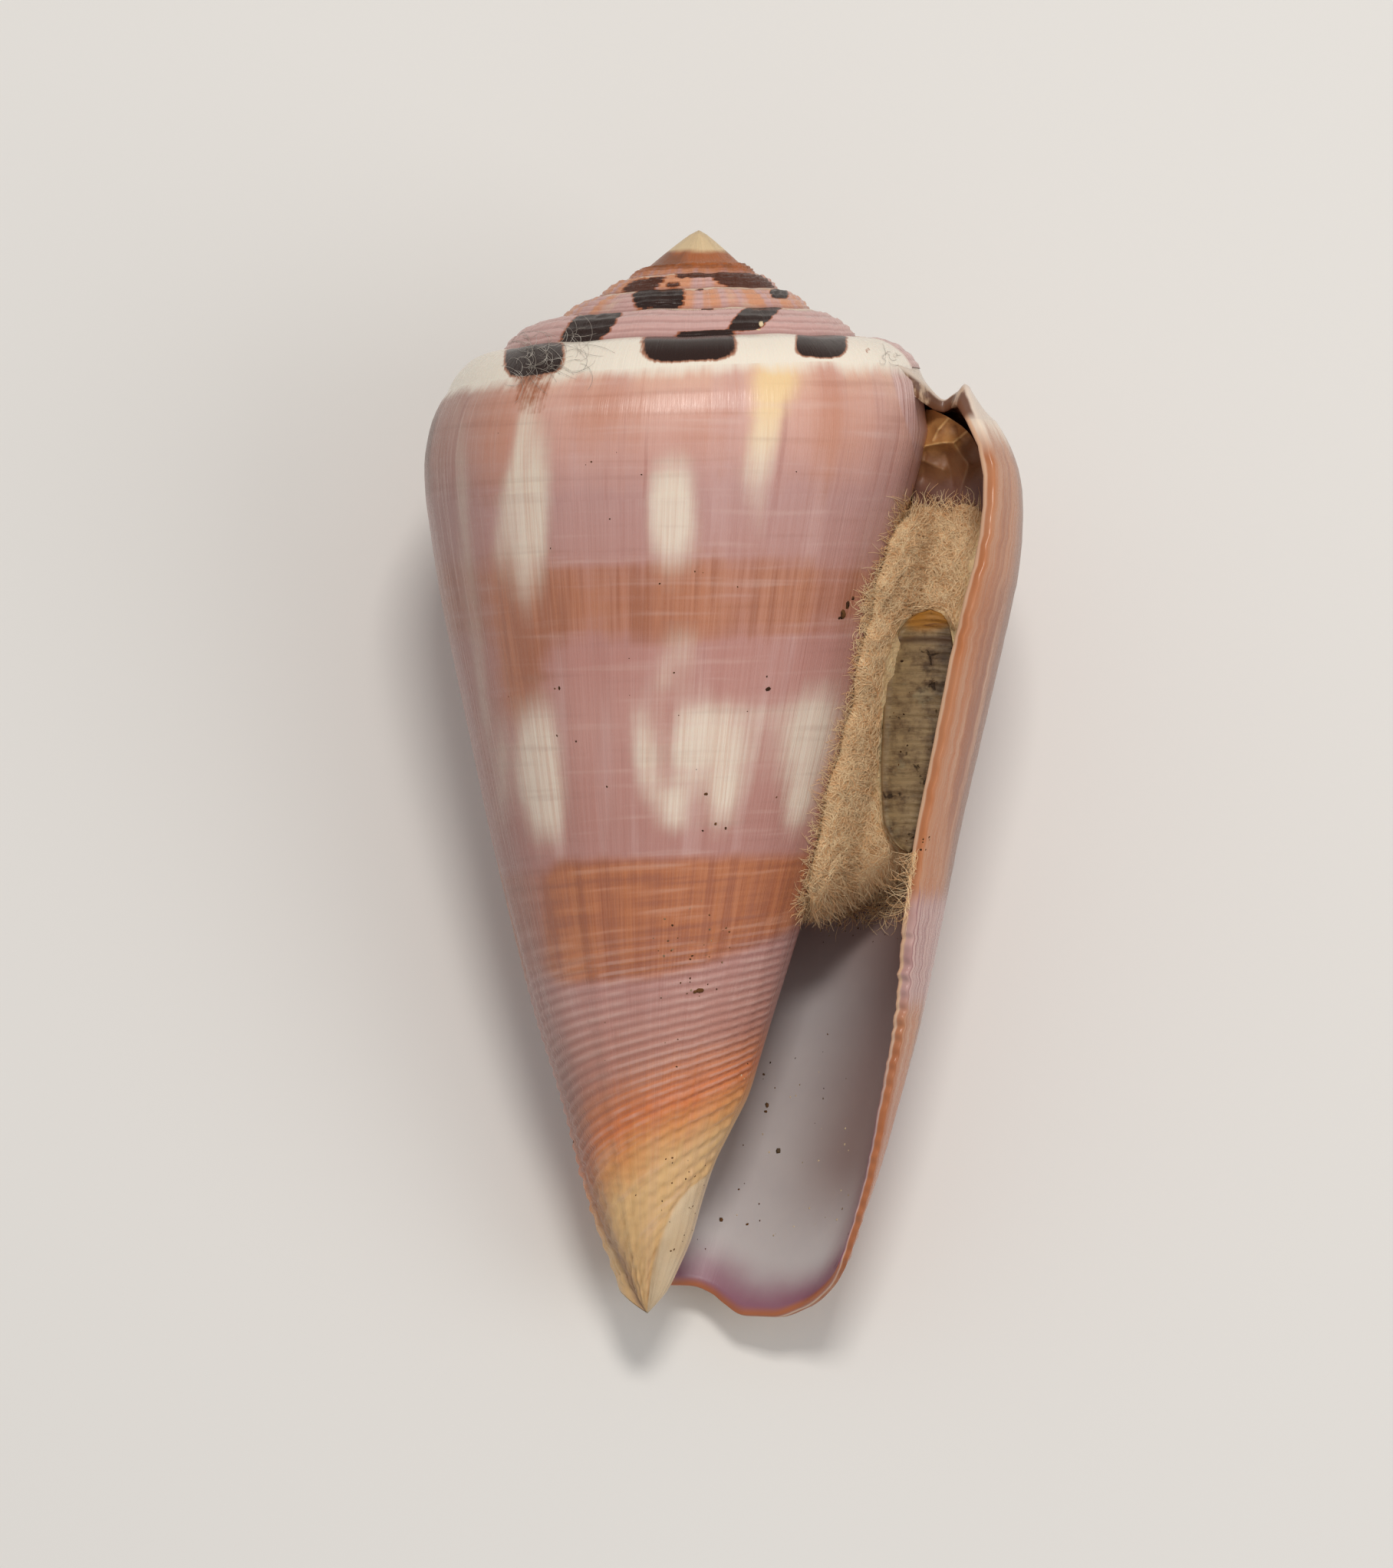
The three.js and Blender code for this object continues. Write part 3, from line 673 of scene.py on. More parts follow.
def shell_finish():
    turn, s, depth, line_at = map(value_of, ("turn", "s", "depth", "line"))
    inner, white, orange, dark = map(value_of, ("inner", "white", "orange", "dark"))
    band, down, face, callus = map(value_of, ("band", "down", "face", "callus"))
    spot = at_point()
    broad = noise(stretched(turn * 0.11, line_at * 0.05), 1.0, 2.0, 0.5)
    streak = noise(stretched(turn * 0.30, line_at * 0.05), 1.0, 4.0, 0.6)
    thin = noise(stretched(turn * 1.3, line_at * 0.07), 1.0, 3.0, 0.65)
    weave = noise(stretched(turn * 0.02, line_at * 1.3), 1.0, 2.0, 0.5)
    cloud = noise(spot, 330.0, 3.0)
    fleck = noise(spot, 1700.0, 2.0)

    # The body whorl.
    place_at = (line_at + (cloud - 0.5) * 2.6 + (streak - 0.5) * 2.0) * (1 / RAMP_DEPTH)
    stops = [(d / RAMP_DEPTH, screen(*color)) for d, color in GROUNDS]
    ground = Wire.node("ShaderNodeValToRGB", {"Fac": place_at}, stops=stops)
    high = between(line_at, 58.0, 49.0)
    uneven = (streak - 0.5) * 0.7 + (broad - 0.5) * 0.6 + (thin - 0.5) * 0.08 + (cloud - 0.5) * 0.3
    tan = blend((188, 122, 86), (166, 102, 70), between(streak + (thin - 0.5) * 0.15, 0.40, 0.62))
    tan = blend(tan, (206, 148, 126), between(down, 660.0, 600.0) * 0.85)
    darker = between(streak + (thin - 0.5) * 0.15 + (weave - 0.5) * 0.8, 0.3, 0.7)
    rust = blend((194, 118, 68), (164, 92, 52), darker)
    cream = blend((236, 222, 204), (226, 200, 180), between(thin, 0.4, 0.7))
    cream = blend(cream, (240, 208, 158), between(down, 640.0, 500.0) * between(turn, -268.0, -288.0))
    patch = white + uneven * 0.45 + (weave - 0.5) * 0.25
    ridges = Wire.math("COSINE", line_at * (2 * math.pi / RIDGE)) * 0.5 + 0.5
    low = between(line_at, 47.0, 52.0) * between(line_at, 66.0, 62.0)
    # the body's left side, where painted shade and a streaked painted reflection go
    left = between(turn, -234.0, -198.0) * between(turn, -166.0, -182.0)
    about = turn + (streak - 0.5) * 12.0
    edge = between(about, -199.0, -188.0) * between(about, -166.0, -180.0)
    edge = edge * between(down + (cloud - 0.5) * 110.0, 665.0, 590.0) * between(down, 505.0, 560.0)
    pearl = blend((226, 192, 188), (184, 140, 134), between(thin, 0.4, 0.6))
    ground = coats(
        ground,
        ((206, 166, 160), between(broad, 0.5, 0.7) * (high * 0.4 + 0.1)),
        ((166, 108, 98), between(streak, 0.46, 0.28) * (high * 0.34 + 0.06)),
        (tan, between(orange + uneven + (weave - 0.5) * 0.5, 0.18, 0.95) * 0.95),
        (rust, between(band + uneven * 0.35 + (weave - 0.5) * 0.3, 0.25, 0.75) * 0.92),
        (cream, between(patch, 0.16, 0.84) * 0.96),
        ((140, 90, 80), between(weave, 0.54, 0.74) * 0.16),
        ((230, 202, 190), between(weave, 0.46, 0.26) * 0.18),
        ((230, 208, 202), between(thin, 0.64, 0.78) * high * 0.14),
        # painted shade in the grooves between the lower spiral ridges, and painted light on their crests
        ((150, 92, 80), low * between(ridges, 0.4, 0.0) * 0.30),
        ((224, 186, 176), low * between(ridges, 0.5, 1.0) * between(cloud, 0.36, 0.6) * 0.4),
        # painted shade down the left side, with pale streaks on it as a painted reflection
        ((112, 70, 64), left * 0.55),
        ((224, 200, 192), left * between(thin, 0.5, 0.62) * 0.3),
        ((92, 50, 34), edge * 0.8),
        (pearl, between(callus, -1.0, 4.0) * 0.8),
    )

    # The shoulder's white band, the spire's ramps and the dark blotches.
    last = between(turn, -341.0, -338.0)
    rim = between(s + (cloud - 0.5) * 0.016 + (streak - 0.5) * 0.022, 1.016, 0.997) * last
    cords = Wire.math("COSINE", s * (2 * math.pi * CORDS)) * 0.5 + 0.5
    old = between(turn, -690.0, -760.0)
    rose = coats(
        (210, 170, 164),
        # painted shade in the grooves between the spire's cords
        ((180, 136, 130), between(cords, 0.5, 0.0) * 0.6),
        ((216, 150, 108), old * between(broad, 0.36, 0.56) * 0.85),
        ((222, 190, 164), between(cloud, 0.56, 0.7) * old * 0.7),
        ((232, 212, 188), between(s + (cloud - 0.5) * 0.24, 0.17, 0.05) * 0.85),
        # painted shade at the foot of each ramp, just above the next whorl's ragged edge
        ((146, 100, 94), between(s, 0.86, 0.99) * 0.5),
        ((170, 92, 36), between(depth + (cloud - 0.5) * 1.2, 3.2, 2.6) * 0.95),
        ((120, 66, 30), between(depth, 3.2, 2.6) * between(cloud, 0.46, 0.58) * 0.7),
        ((228, 200, 156), between(depth + (cloud - 0.5) * 0.8, 1.7, 1.25)),
    )
    early = between(s, 1.004, 1.0) * between(turn, -340.5, -341.5)
    ragged = (cloud - 0.5) * (0.16 + between(turn, -660.0, -740.0) * 0.5)
    stain = dark + (thin - 0.5) * 0.12 + (fleck - 0.5) * 0.10 + ragged
    stain = stain - early * between(cords, 0.7, 1.0) * 0.06
    pitch = blend((40, 18, 10), (92, 48, 30), between(turn + (cloud - 0.5) * 500.0, -1000.0, -1350.0) * 0.8)
    ground = coats(
        ground,
        ((240, 231, 216), rim * 0.97),
        (rose, early),
        ((158, 84, 38), between(stain, 0.42, 0.50) * 0.85),
        (pitch, between(stain, 0.49, 0.56)),
    )

    # The lip's outer strip, with painted shade toward its outer edge.
    strip = between(turn, -24.0, -6.0) * between(inner, 1.4, 1.0)
    worn_down = down + (thin - 0.5) * 70.0
    pale = between(worn_down, 1150.0, 1185.0) * between(worn_down, 1330.0, 1290.0)
    streaked = blend((206, 172, 166), (156, 110, 114), between(thin, 0.42, 0.62))
    along = coats(
        (184, 114, 70),
        ((194, 142, 110), between(streak + (thin - 0.5) * 0.3, 0.40, 0.66)),
        ((150, 86, 56), between(broad + (streak - 0.5) * 0.5, 0.5, 0.34) * 0.7),
        # painted shade: the strip darkens toward its outer edge, where it turns away from the light
        ((124, 86, 72), between(turn + (streak - 0.5) * 12.0, 12.0, -2.0) * 0.9),
        ((236, 214, 202), between(streak + (thin - 0.5) * 0.4, 0.66, 0.76) * 0.7),
        ((240, 222, 202), between(down + (streak - 0.5) * 120.0, 600.0, 540.0)),
        (streaked, pale * 0.9),
        ((170, 100, 60), between(down, 1340.0, 1480.0) * 0.7),
    )

    # The columella's white face.
    bare_face = blend((232, 212, 182), (214, 182, 140), cloud)
    ground = coats(
        ground,
        (along, strip),
        ((224, 206, 190), strip * between(s, 1.01, 0.99)),
        (bare_face, between(face, -0.05, 0.25) * between(depth, 61.0, 62.6)),
    )

    # The inside: porcelain low down, violet by the edges, brown high up.
    outer_side = between(inner, 1.2, 1.9)
    column = between(inner, 1.5, 1.0)
    shaded = between(turn, -42.0, -8.0) * between(down, 1640.0, 1500.0)
    violet = between(turn + (cloud - 0.5) * 8.0, -6.0, 20.0) * between(down, 1000.0, 1300.0)
    china = coats(
        (192, 186, 188),
        ((206, 200, 200), cloud),
        ((178, 138, 128), between(down, 1330.0, 1120.0) * 0.8),
        ((196, 150, 140), between(down, 800.0, 640.0) * 0.7),
        ((236, 160, 104), between(depth + (cloud - 0.5) * 1.5, 14.6, 12.6) * 0.8),
        ((130, 98, 92), shaded * outer_side * 0.7),
        ((152, 96, 112), violet * outer_side * 0.85),
        ((136, 78, 102), between(s + (cloud - 0.5) * 0.02, 1.935, 1.995) * outer_side * 0.9),
        ((176, 104, 60), between(s, 1.990, 2.0) * outer_side * 0.9),
        ((214, 168, 160), column * between(turn, -356.0, -344.0) * between(depth, 30.0, 20.0)),
    )

    # The lip's edge and, where it is notched, its worn rim.
    near_lip = between(turn, 0.0, 8.0)
    rim_band = between(inner, 0.9, 1.4) * between(inner, 1.98, 1.8) * near_lip
    notch = between(inner, 0.1, 0.5) * near_lip * between(s, 1.02, 0.92)
    worn = blend((216, 186, 156), (104, 58, 34), between(cloud + (fleck - 0.5) * 0.4, 0.40, 0.56))
    color = coats(
        ground,
        (china, between(inner, 0.98, 1.7)),
        ((232, 194, 158), rim_band * between(down, 1500.0, 1300.0) * 0.85),
        (worn, notch * 0.9),
    )
    rough = 0.17 + thin * 0.12 + fleck * 0.06 + between(inner, 0.2, 0.9) * 0.1
    lines = noise(stretched(turn * 3.6, line_at * 0.12), 1.0, 3.0, 0.75)
    height = lines * 0.4 + thin * 0.55 + streak * 0.5 + weave * 0.10 + noise(spot, 900.0, 3.0) * 0.16
    outside = between(inner, 0.9, 0.1) * 0.85 + 0.15
    return {"Base Color": color, "Roughness": rough, "Normal": bump(height * outside, 0.00006)}


shell = make_shell()
shell.data.materials.append(material(
    "shell", shell_finish, Subsurface_Weight=0.08, Subsurface_Radius=(0.002, 0.0012, 0.0009), IOR=1.44))
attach(shell, "root")
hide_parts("shell")


# The camera, which the small things are placed by as well.
def behind_pixel(px, py, height):
    """Across and down from the apex in mm, of a point at a height in front of the axis's plane."""
    near = (DISTANCE - height) / DISTANCE
    x = (CENTRE[0] - APEX[0]) * PIXEL + (px - CENTRE[0]) * PIXEL * near
    depth = (CENTRE[1] - APEX[1]) * PIXEL + (py - CENTRE[1]) * PIXEL * near
    return x, depth


def point(px, py):
    """Where a pixel of the photograph lies in the axis's plane."""
    x, depth = behind_pixel(px, py, 0.0)
    return Vector(lay(np.array(x), np.array(0.0), np.array(depth)).tolist())


front = Vector((0, -math.sin(TILT), math.cos(TILT)))
up = Vector((0, math.cos(TILT), math.sin(TILT)))
right = up.cross(front)
lens_at = point(*CENTRE) + front * DISTANCE / 1000


# The cotton wad: the CAD solid's form with lumps, and fibres over it.
COTTON = (18.6, 45.6)  # its top's and its foot's depth
lump_x, lump_y, lump_z = waves(31, 7, 0.5, 2.6), waves(32, 7, 0.5, 2.6), waves(33, 7, 1.0, 5.0)


def cotton_front(x, u):
    return 2.6 + 0.3 * (x - 14) - 2.2 * u ** 6


def cotton_room(turn, s, depth):
    own = turn - (lip_turn(depth) - LAST) * smooth(-60, LAST, turn)
    low = radius(turn - 360, depth) + GAP * mix(1, 0.35, smooth(8, LAST, turn))
    high = radius(own, depth) - wall(own, depth) - 2 * GAP
    return mix(low, high, s)


def front_turn(s, depth, u):
    """Where the wad's front is, found by halving; near the inner whorl it laps over that whorl's edge."""
    low, high = np.full_like(s, -60.0), np.full_like(s, 30.0)
    for _ in range(30):
        turn = (low + high) / 2
        r = cotton_room(turn, s, depth)
        behind = r * np.sin(np.radians(turn)) < cotton_front(r * np.cos(np.radians(turn)), u)
        low = np.where(behind, turn, low)
        high = np.where(behind, high, turn)
    lap = LAST + 4.5 + 1.2 * lump_z(depth * 0.45)
    return mix(low, lap, (1 - smooth(0.0, 0.38, s)) * (1 - np.abs(u) ** 9))


def lumps(points):
    """How far the wad's surface is pushed in or out, in mm."""
    p = points * 1000
    first = lump_x(p[..., 0] + 0.7 * p[..., 1]) * lump_y(p[..., 1] - 0.6 * p[..., 2])
    return 0.20 * first + 0.06 * lump_z(p[..., 1] * 1.3 + 2 * np.sin(p[..., 0] * 1.4))


def make_cotton():
    side, across, back = 14, 64, 12
    s = np.concatenate([np.linspace(0, 1, across), np.ones(side), np.linspace(1, 0, back), np.zeros(side)])
    far = np.concatenate([np.zeros(across), np.linspace(0, 1, side + 2)[1:-1], np.ones(back),
                          np.linspace(1, 0, side + 2)[1:-1]])
    u = np.linspace(-1, 1, 121)
    u, s = np.meshgrid(u, np.append(s, s[0]), indexing="ij")
    far = np.broadcast_to(np.append(far, far[0]), u.shape)
    depth = mix(COTTON[0], COTTON[1], (u + 1) / 2) - 4.0 * s * smooth(0.5, 1, u)
    span = 42 * np.sqrt(np.maximum(0.03, 1 - u ** 4))
    turn = front_turn(s, depth, u) - span * far
    points = place(turn, cotton_room(turn, s, depth), depth)
    shaped = points - normals(points) * (lumps(points) / 1000)[..., None] * (1 - far)[..., None]
    shaped[:, -1] = shaped[:, 0]
    skin = Skin()
    skin.grid(shaped, {"down": depth, "across": s})
    for end, flip in ((0, False), (-1, True)):
        middle = np.broadcast_to(shaped[end].mean(0), shaped[end].shape)
        k = np.linspace(0, 1, 7)[:, None, None]
        skin.grid(middle * (1 - k) + shaped[end] * k, {"down": depth[end][None], "across": 0.5}, flip)
    return skin.build("cotton")


def cotton_finish():
    spot = at_point()
    down, across = value_of("down"), value_of("across")
    matted = noise(spot, 260.0, 5.0, 0.65, 0.6)
    strands = noise(spot, 1500.0, 4.0, 0.7, 2.2)
    color = coats(
        (252, 224, 176),
        ((249, 217, 166), between(matted, 0.4, 0.62)),
        ((238, 196, 142), between(down, 36.0, 46.0) * 0.6),
        # painted shade at the wad's top, under the shoulder's roof
        ((222, 180, 134), between(down, 20.6, 18.8) * 0.6),
        ((236, 194, 140), between(strands, 0.58, 0.74) * 0.3),
        ((255, 238, 200), between(strands, 0.44, 0.3) * 0.4),
        # painted shade where the wad tucks under the lip
        ((168, 120, 80), between(across, 0.90, 1.0) * 0.5),
    )
    height = matted * 0.5 + strands * 0.7 + noise(spot, 4200.0, 2.0) * 0.4
    return {"Base Color": color, "Roughness": 0.9 + strands * 0.1, "Normal": bump(height, 0.00020)}


cotton = make_cotton()
cotton_material = material("cotton", cotton_finish, Subsurface_Weight=0.2,
                           Subsurface_Radius=(0.0012, 0.0009, 0.0007), Specular_IOR_Level=0.05)
cotton.data.materials.append(cotton_material)
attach(cotton, "root")
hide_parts("cotton_wad")


# The operculum: a thin arched plate with growth striae. Depth, left and right edge.
PLATE = [
    (25.35, 16.3, 16.6), (25.6, 15.5, 17.2), (26.1, 14.9, 17.6), (26.9, 14.4, 17.9), (28.6, 13.9, 18.2),
    (30.7, 13.7, 18.4), (34.8, 13.7, 18.2), (38.9, 14.0, 16.9), (40.4, 14.6, 16.6), (41.1, 15.3, 16.2),
    (41.3, 15.7, 15.9),
]
PLATE_TOP, PLATE_FOOT, PLATE_THICKNESS = 25.35, 41.3, 0.22


def make_operculum():
    depth = mix(PLATE_TOP, PLATE_FOOT, (1 - np.cos(np.linspace(0, math.pi, 241))) / 2)
    k = np.linspace(0, 1, 33)
    left = line([(d, a) for d, a, _ in PLATE])(depth)
    wide = line([(d, b) for d, _, b in PLATE])(depth) - left
    depth, k = np.meshgrid(depth, k, indexing="ij")
    x = left[:, None] + wide[:, None] * k
    arch = 1 - (2 * k - 1) ** 2
    striae = 0.03 * np.sin(depth * 15 + 2.5 * np.sin(k * 3.1)) + 0.03 * np.sin(depth * 6.3 + 1.5 * k)
    curl = 0.22 * smooth(0.12, 0, k) + 0.25 * smooth(26.6, 25.4, depth)
    slumped = 0.10 * np.sin(depth * 1.1) * k
    y = cotton_front(x, 0) + GAP + 0.32 + 0.42 * arch + (striae + slumped) * smooth(0, 0.1, k) + curl
    above, below = lay(x - LEAN * depth, y, depth), lay(x - LEAN * depth, y - PLATE_THICKNESS, depth)
    values = {"along": (depth - PLATE_TOP) / (PLATE_FOOT - PLATE_TOP), "across": k}
    return sheet("operculum_plate", above, below, values)


def horn_finish():
    along, across, spot = value_of("along"), value_of("across"), at_point()
    grain = noise(spot, 700.0, 4.0, 0.65)
    patches = noise(stretched(across * 2.4, along * 9.0), 1.0, 4.0, 0.65, 0.8)
    fine = noise(stretched(across * 2.0, along * 52.0), 1.0, 5.0, 0.75, 1.1)
    rim = between(along + (across - 0.5) * (across - 0.5) * 0.10, 0.105, 0.06)
    cracks = Wire.node("ShaderNodeTexVoronoi", {"Vector": spot, "Scale": 420.0}, feature="DISTANCE_TO_EDGE")
    torn = between(cracks + (fine - 0.5) * 0.06, 0.03, 0.0) * between(grain, 0.56, 0.64)
    color = coats(
        (152, 128, 90),
        ((112, 88, 58), between(fine * 0.5 + patches * 0.5 + (grain - 0.5), 0.36, 0.64)),
        ((160, 146, 112), between(patches, 0.54, 0.68) * 0.5),
        ((70, 48, 28), between(grain + (patches - 0.5) * 0.5, 0.56, 0.68) * 0.7),
        ((54, 36, 24), between(across + (patches - 0.5) * 0.3, 0.58, 0.92) * 0.6),
        ((176, 120, 42), rim * 0.95),
        ((104, 62, 26), rim * between(fine, 0.5, 0.62) * 0.7),
        ((74, 44, 22), between(along, 0.10, 0.115) * between(along, 0.15, 0.125) * 0.7),
        ((128, 96, 58), between(across, 0.10, 0.0) * 0.6),
        ((44, 28, 18), torn * 0.6),
    )
    height = fine * 0.45 + grain * 0.7 - torn
    return {"Base Color": color, "Roughness": 0.42 + grain * 0.3, "Normal": bump(height, 0.00012)}


operculum = make_operculum()
operculum.data.materials.append(material("horn", horn_finish, IOR=1.5))
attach(operculum, "root")
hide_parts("operculum")


# The folded slip: a thin film between the inner whorl and the lip, creased twice.
SLIP_TOP, SLIP_FOOT = 534, 668  # in the photograph
SLIP_THICKNESS = 0.12
slip_left = line([(534, 1206), (545, 1198), (560, 1192), (585, 1189), (615, 1191), (668, 1188)])
slip_right = line([
    (534, 1216), (545, 1238), (560, 1259), (575, 1271), (600, 1281), (640, 1286), (668, 1285),
])
fold_line = line([(1186, 596), (1207, 581), (1230, 577), (1243, 576), (1260, 563), (1290, 544)])
# Its creases: where they start and end in the photograph, how high they stand (mm) and how wide (pixels).
CREASES = [
    (1192, 592, 1207, 581, 0.5, 6), (1207, 581, 1230, 577, 0.6, 6), (1230, 577, 1243, 577, 0.6, 6),
    (1243, 577, 1262, 561, 0.5, 6), (1216, 574, 1223, 560, 0.4, 5), (1223, 560, 1236, 546, 0.35, 5),
    (1243, 577, 1262, 606, 0.35, 8), (1207, 581, 1203, 622, -0.3, 8), (1230, 577, 1243, 634, -0.35, 9),
    (1262, 606, 1250, 648, 0.3, 8), (1203, 600, 1230, 612, 0.25, 7), (1245, 556, 1252, 572, -0.25, 5),
]


def crease_height(px, py):
    """The creases' height, and how near a point is to the top of one."""
    height, near = np.zeros_like(px), np.zeros_like(px)
    for x0, y0, x1, y1, high, wide in CREASES:
        dx, dy = x1 - x0, y1 - y0
        along = np.clip(((px - x0) * dx + (py - y0) * dy) / (dx * dx + dy * dy), 0, 1)
        away = np.hypot(px - x0 - along * dx, py - y0 - along * dy)
        height = height + high * np.exp(-away / wide)
        near = np.maximum(near, np.sign(high) * np.exp(-(away / 2.2) ** 2))
    return height, near


def make_slip():
    k, v = np.meshgrid(np.linspace(0, 1, 49), np.linspace(0, 1, 97), indexing="ij")
    py = mix(SLIP_TOP, SLIP_FOOT, v)
    px = mix(slip_left(py), slip_right(py), k)
    below = (py - fold_line(px)) / 20
    height, near_crease = crease_height(px, py)
    y = 1.3 + 1.9 * k - 0.9 * smooth(-0.1, 4.5, below) + height - 0.3 * smooth(-0.2, -2.0, below)
    y = y + 0.08 * growth_wave(px * 0.009 + py * 0.007) + 0.06 * lip_wave(px * 0.012 - py * 0.014)
    x, depth = behind_pixel(px, py, y)
    hole = np.exp(-((px - 1198) / 6) ** 2 - ((py - 582) / 5) ** 2)
    values = {"below": below, "fold": near_crease, "down": py, "hole": hole}
    return sheet("slip_film", lay(x, y, depth), lay(x, y - SLIP_THICKNESS, depth), values, True)


def paper_finish():
    below, fold, down, spot = value_of("below"), value_of("fold"), value_of("down"), at_point()
    mottle = noise(spot, 520.0, 4.0, 0.6)
    color = blend((192, 140, 84), (158, 106, 60), between(mottle, 0.4, 0.64))
    color = coats(
        color,
        # painted highlight along the tops of the raised creases
        ((236, 192, 130), between(fold + (mottle - 0.5), 0.3, 1.0) * 0.6),
        ((132, 88, 60), between(below + (mottle - 0.5) * 1.2, 0.1, 0.9) * 0.8),
        # painted shade at the film's foot, in the mauve-grey of the shaded wall there
        ((128, 92, 84), between(down + (mottle - 0.5) * 24.0, 610.0, 645.0) * 0.85),
        # the hole is only painted: near black, as the shade in the cavity behind it
        ((40, 20, 10), between(value_of("hole"), 0.4, 0.6) * 0.95),
    )
    height = mottle + noise(spot, 1900.0, 3.0) * 0.4
    return {"Base Color": color, "Roughness": 0.42 + mottle * 0.2, "Normal": bump(height, 0.00008)}


slip = make_slip()
slip.data.materials.append(material("paper", paper_finish, Subsurface_Weight=0.2,
                                    Subsurface_Radius=(0.001, 0.0006, 0.0003)))
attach(slip, "root")
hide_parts("paper_slip")


# Small things lie where a line of sight through their pixel of the photograph meets what is modelled.
def tree_of(*pieces):
    points, polygons = [], []
    for piece in pieces:
        start = len(points)
        points += [v.co.copy() for v in piece.data.vertices]
        polygons += [[start + i for i in p.vertices] for p in piece.data.polygons]
    return BVHTree.FromPolygons(points, polygons)


surface = tree_of(shell, cotton, operculum, slip)
bare = tree_of(operculum)


def seen(px, py):
    """The place and the normal of the surface behind a pixel."""
    away = (point(px, py) - lens_at).normalized()
    hit, normal, _, _ = surface.ray_cast(lens_at, away)
    if hit is None:
        return None
    if normal.dot(away) > 0:
        normal = -normal
    return hit, normal


def on_operculum(px, py):
    return bare.ray_cast(lens_at, (point(px, py) - lens_at).normalized())[0] is not None


def strands(name, paths, thickness):
    """Thin three-sided tubes along paths, an array of fibres by points by 3."""
    paths = np.array(paths)
    along = np.gradient(paths, axis=1)
    along /= np.maximum(np.linalg.norm(along, axis=-1, keepdims=True), 1e-12)
    aside = np.cross(along, np.array(front))
    aside /= np.maximum(np.linalg.norm(aside, axis=-1, keepdims=True), 1e-12)
    above = np.cross(aside, along)
    count, points = paths.shape[:2]
    taper = 0.35 + 0.65 * np.sin(np.linspace(0.15, 1, points) * math.pi * 0.9)
    reach = taper[None, :, None] * thickness / 1000
    ring = [paths + reach * (math.cos(w) * aside + math.sin(w) * above) for w in (0.5, 2.6, 4.7)]
    ring = np.stack(ring, 2)
    index = np.arange(count * points * 3).reshape(count, points, 3)
    quads = []
    for k in range(3):
        n = (k + 2) % 3
        quads.append(np.stack([index[:, :-1, k], index[:, :-1, n], index[:, 1:, n], index[:, 1:, k]], -1))
    tint = np.repeat(rng.random(count), points * 3)
    polygons = np.concatenate([q.reshape(-1, 4) for q in quads]).tolist()
    return new_piece(name, ring.reshape(-1, 3), polygons, {"tint": tint})


# The cotton's left and right edge, by pixels down: the inner whorl's outline and the lip's.
parietal = line([
    (640, 1191), (654, 1188), (756, 1155), (782, 1141), (828, 1134), (910, 1124), (961, 1109), (1042, 1088),
    (1114, 1073), (1175, 1058), (1237, 1032),
])
lip_edge = line([
    (640, 1280), (663, 1281), (760, 1265), (814, 1252), (913, 1230), (1015, 1212), (1104, 1201),
    (1190, 1190),
])


def fibre(px, py, heading, length, bend, lift, points=6):
    """A fibre lying over what is there, from a pixel, with its heading in degrees and length in pixels."""
    path = []
    deepest = None
    for i in range(points):
        hit = seen(px, py)
        if hit is None or on_operculum(px, py) or px > lip_edge(py) - 2:
            return None
        depth = (hit[0] - lens_at).dot(-front) * 1000
        if deepest is not None:
            depth = min(depth, deepest + 0.35)
        deepest = depth
        away = (point(px, py) - lens_at).normalized()
        reach = (depth - lift * math.sin(math.pi * (i + 0.4) / points)) / 1000 / away.dot(-front)
        path.append(list(lens_at + away * reach))
        px += math.cos(math.radians(heading)) * length / points
        py += math.sin(math.radians(heading)) * length / points
        heading += bend * rng.uniform(0.4, 1.6)
    return path


FIBRES = 6000


def cotton_fibres(name, edges, thickness):
    paths = []
    while len(paths) < FIBRES:
        py = rng.uniform(662, 1192)
        left, wide = float(parietal(py)), float(lip_edge(py) - parietal(py))
        kind = rng.random()
        if kind < 0.55 * edges:
            px = left + rng.normal(1, 6)
            path = fibre(px, py, rng.uniform(-180, 180), rng.uniform(10, 30), rng.uniform(-30, 30), 0.2)
        elif kind < edges:
            px = mix(1060, 1195, rng.random())
            edge = mix(1186, 1112, (px - 1060) / 135)
            path = fibre(px, edge - rng.uniform(0, 22), rng.normal(95, 50), rng.uniform(14, 40),
                         rng.uniform(-24, 24), 0.3)
        else:
            px = left + wide * rng.random() * 0.97
            path = fibre(px, py, rng.uniform(-180, 180), rng.uniform(16, 50), rng.uniform(-24, 24), 0.34)
        if path:
            paths.append(path)
    return strands(name, paths, thickness)


def fibre_finish():
    tone = noise(at_point(), 700.0, 3.0)
    tint = value_of("tint") + (tone - 0.5) * 0.3
    return {"Base Color": blend((255, 228, 184), (242, 192, 138), between(tint, 0.35, 1.0)),
            "Roughness": 0.8 + tone * 0.2}


fibre_material = material("cotton_fibre", fibre_finish, Specular_IOR_Level=0.1)
for name, edges, thickness in (("cotton_fibres", 0.6, 0.016), ("cotton_fuzz", 0.3, 0.017)):
    fuzz = cotton_fibres(name, edges, thickness)
    fuzz.data.materials.append(fibre_material)
    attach(fuzz, "root")


# Grey hairs caught on the spire's left and at the notch.
HAIR_POINTS = 11


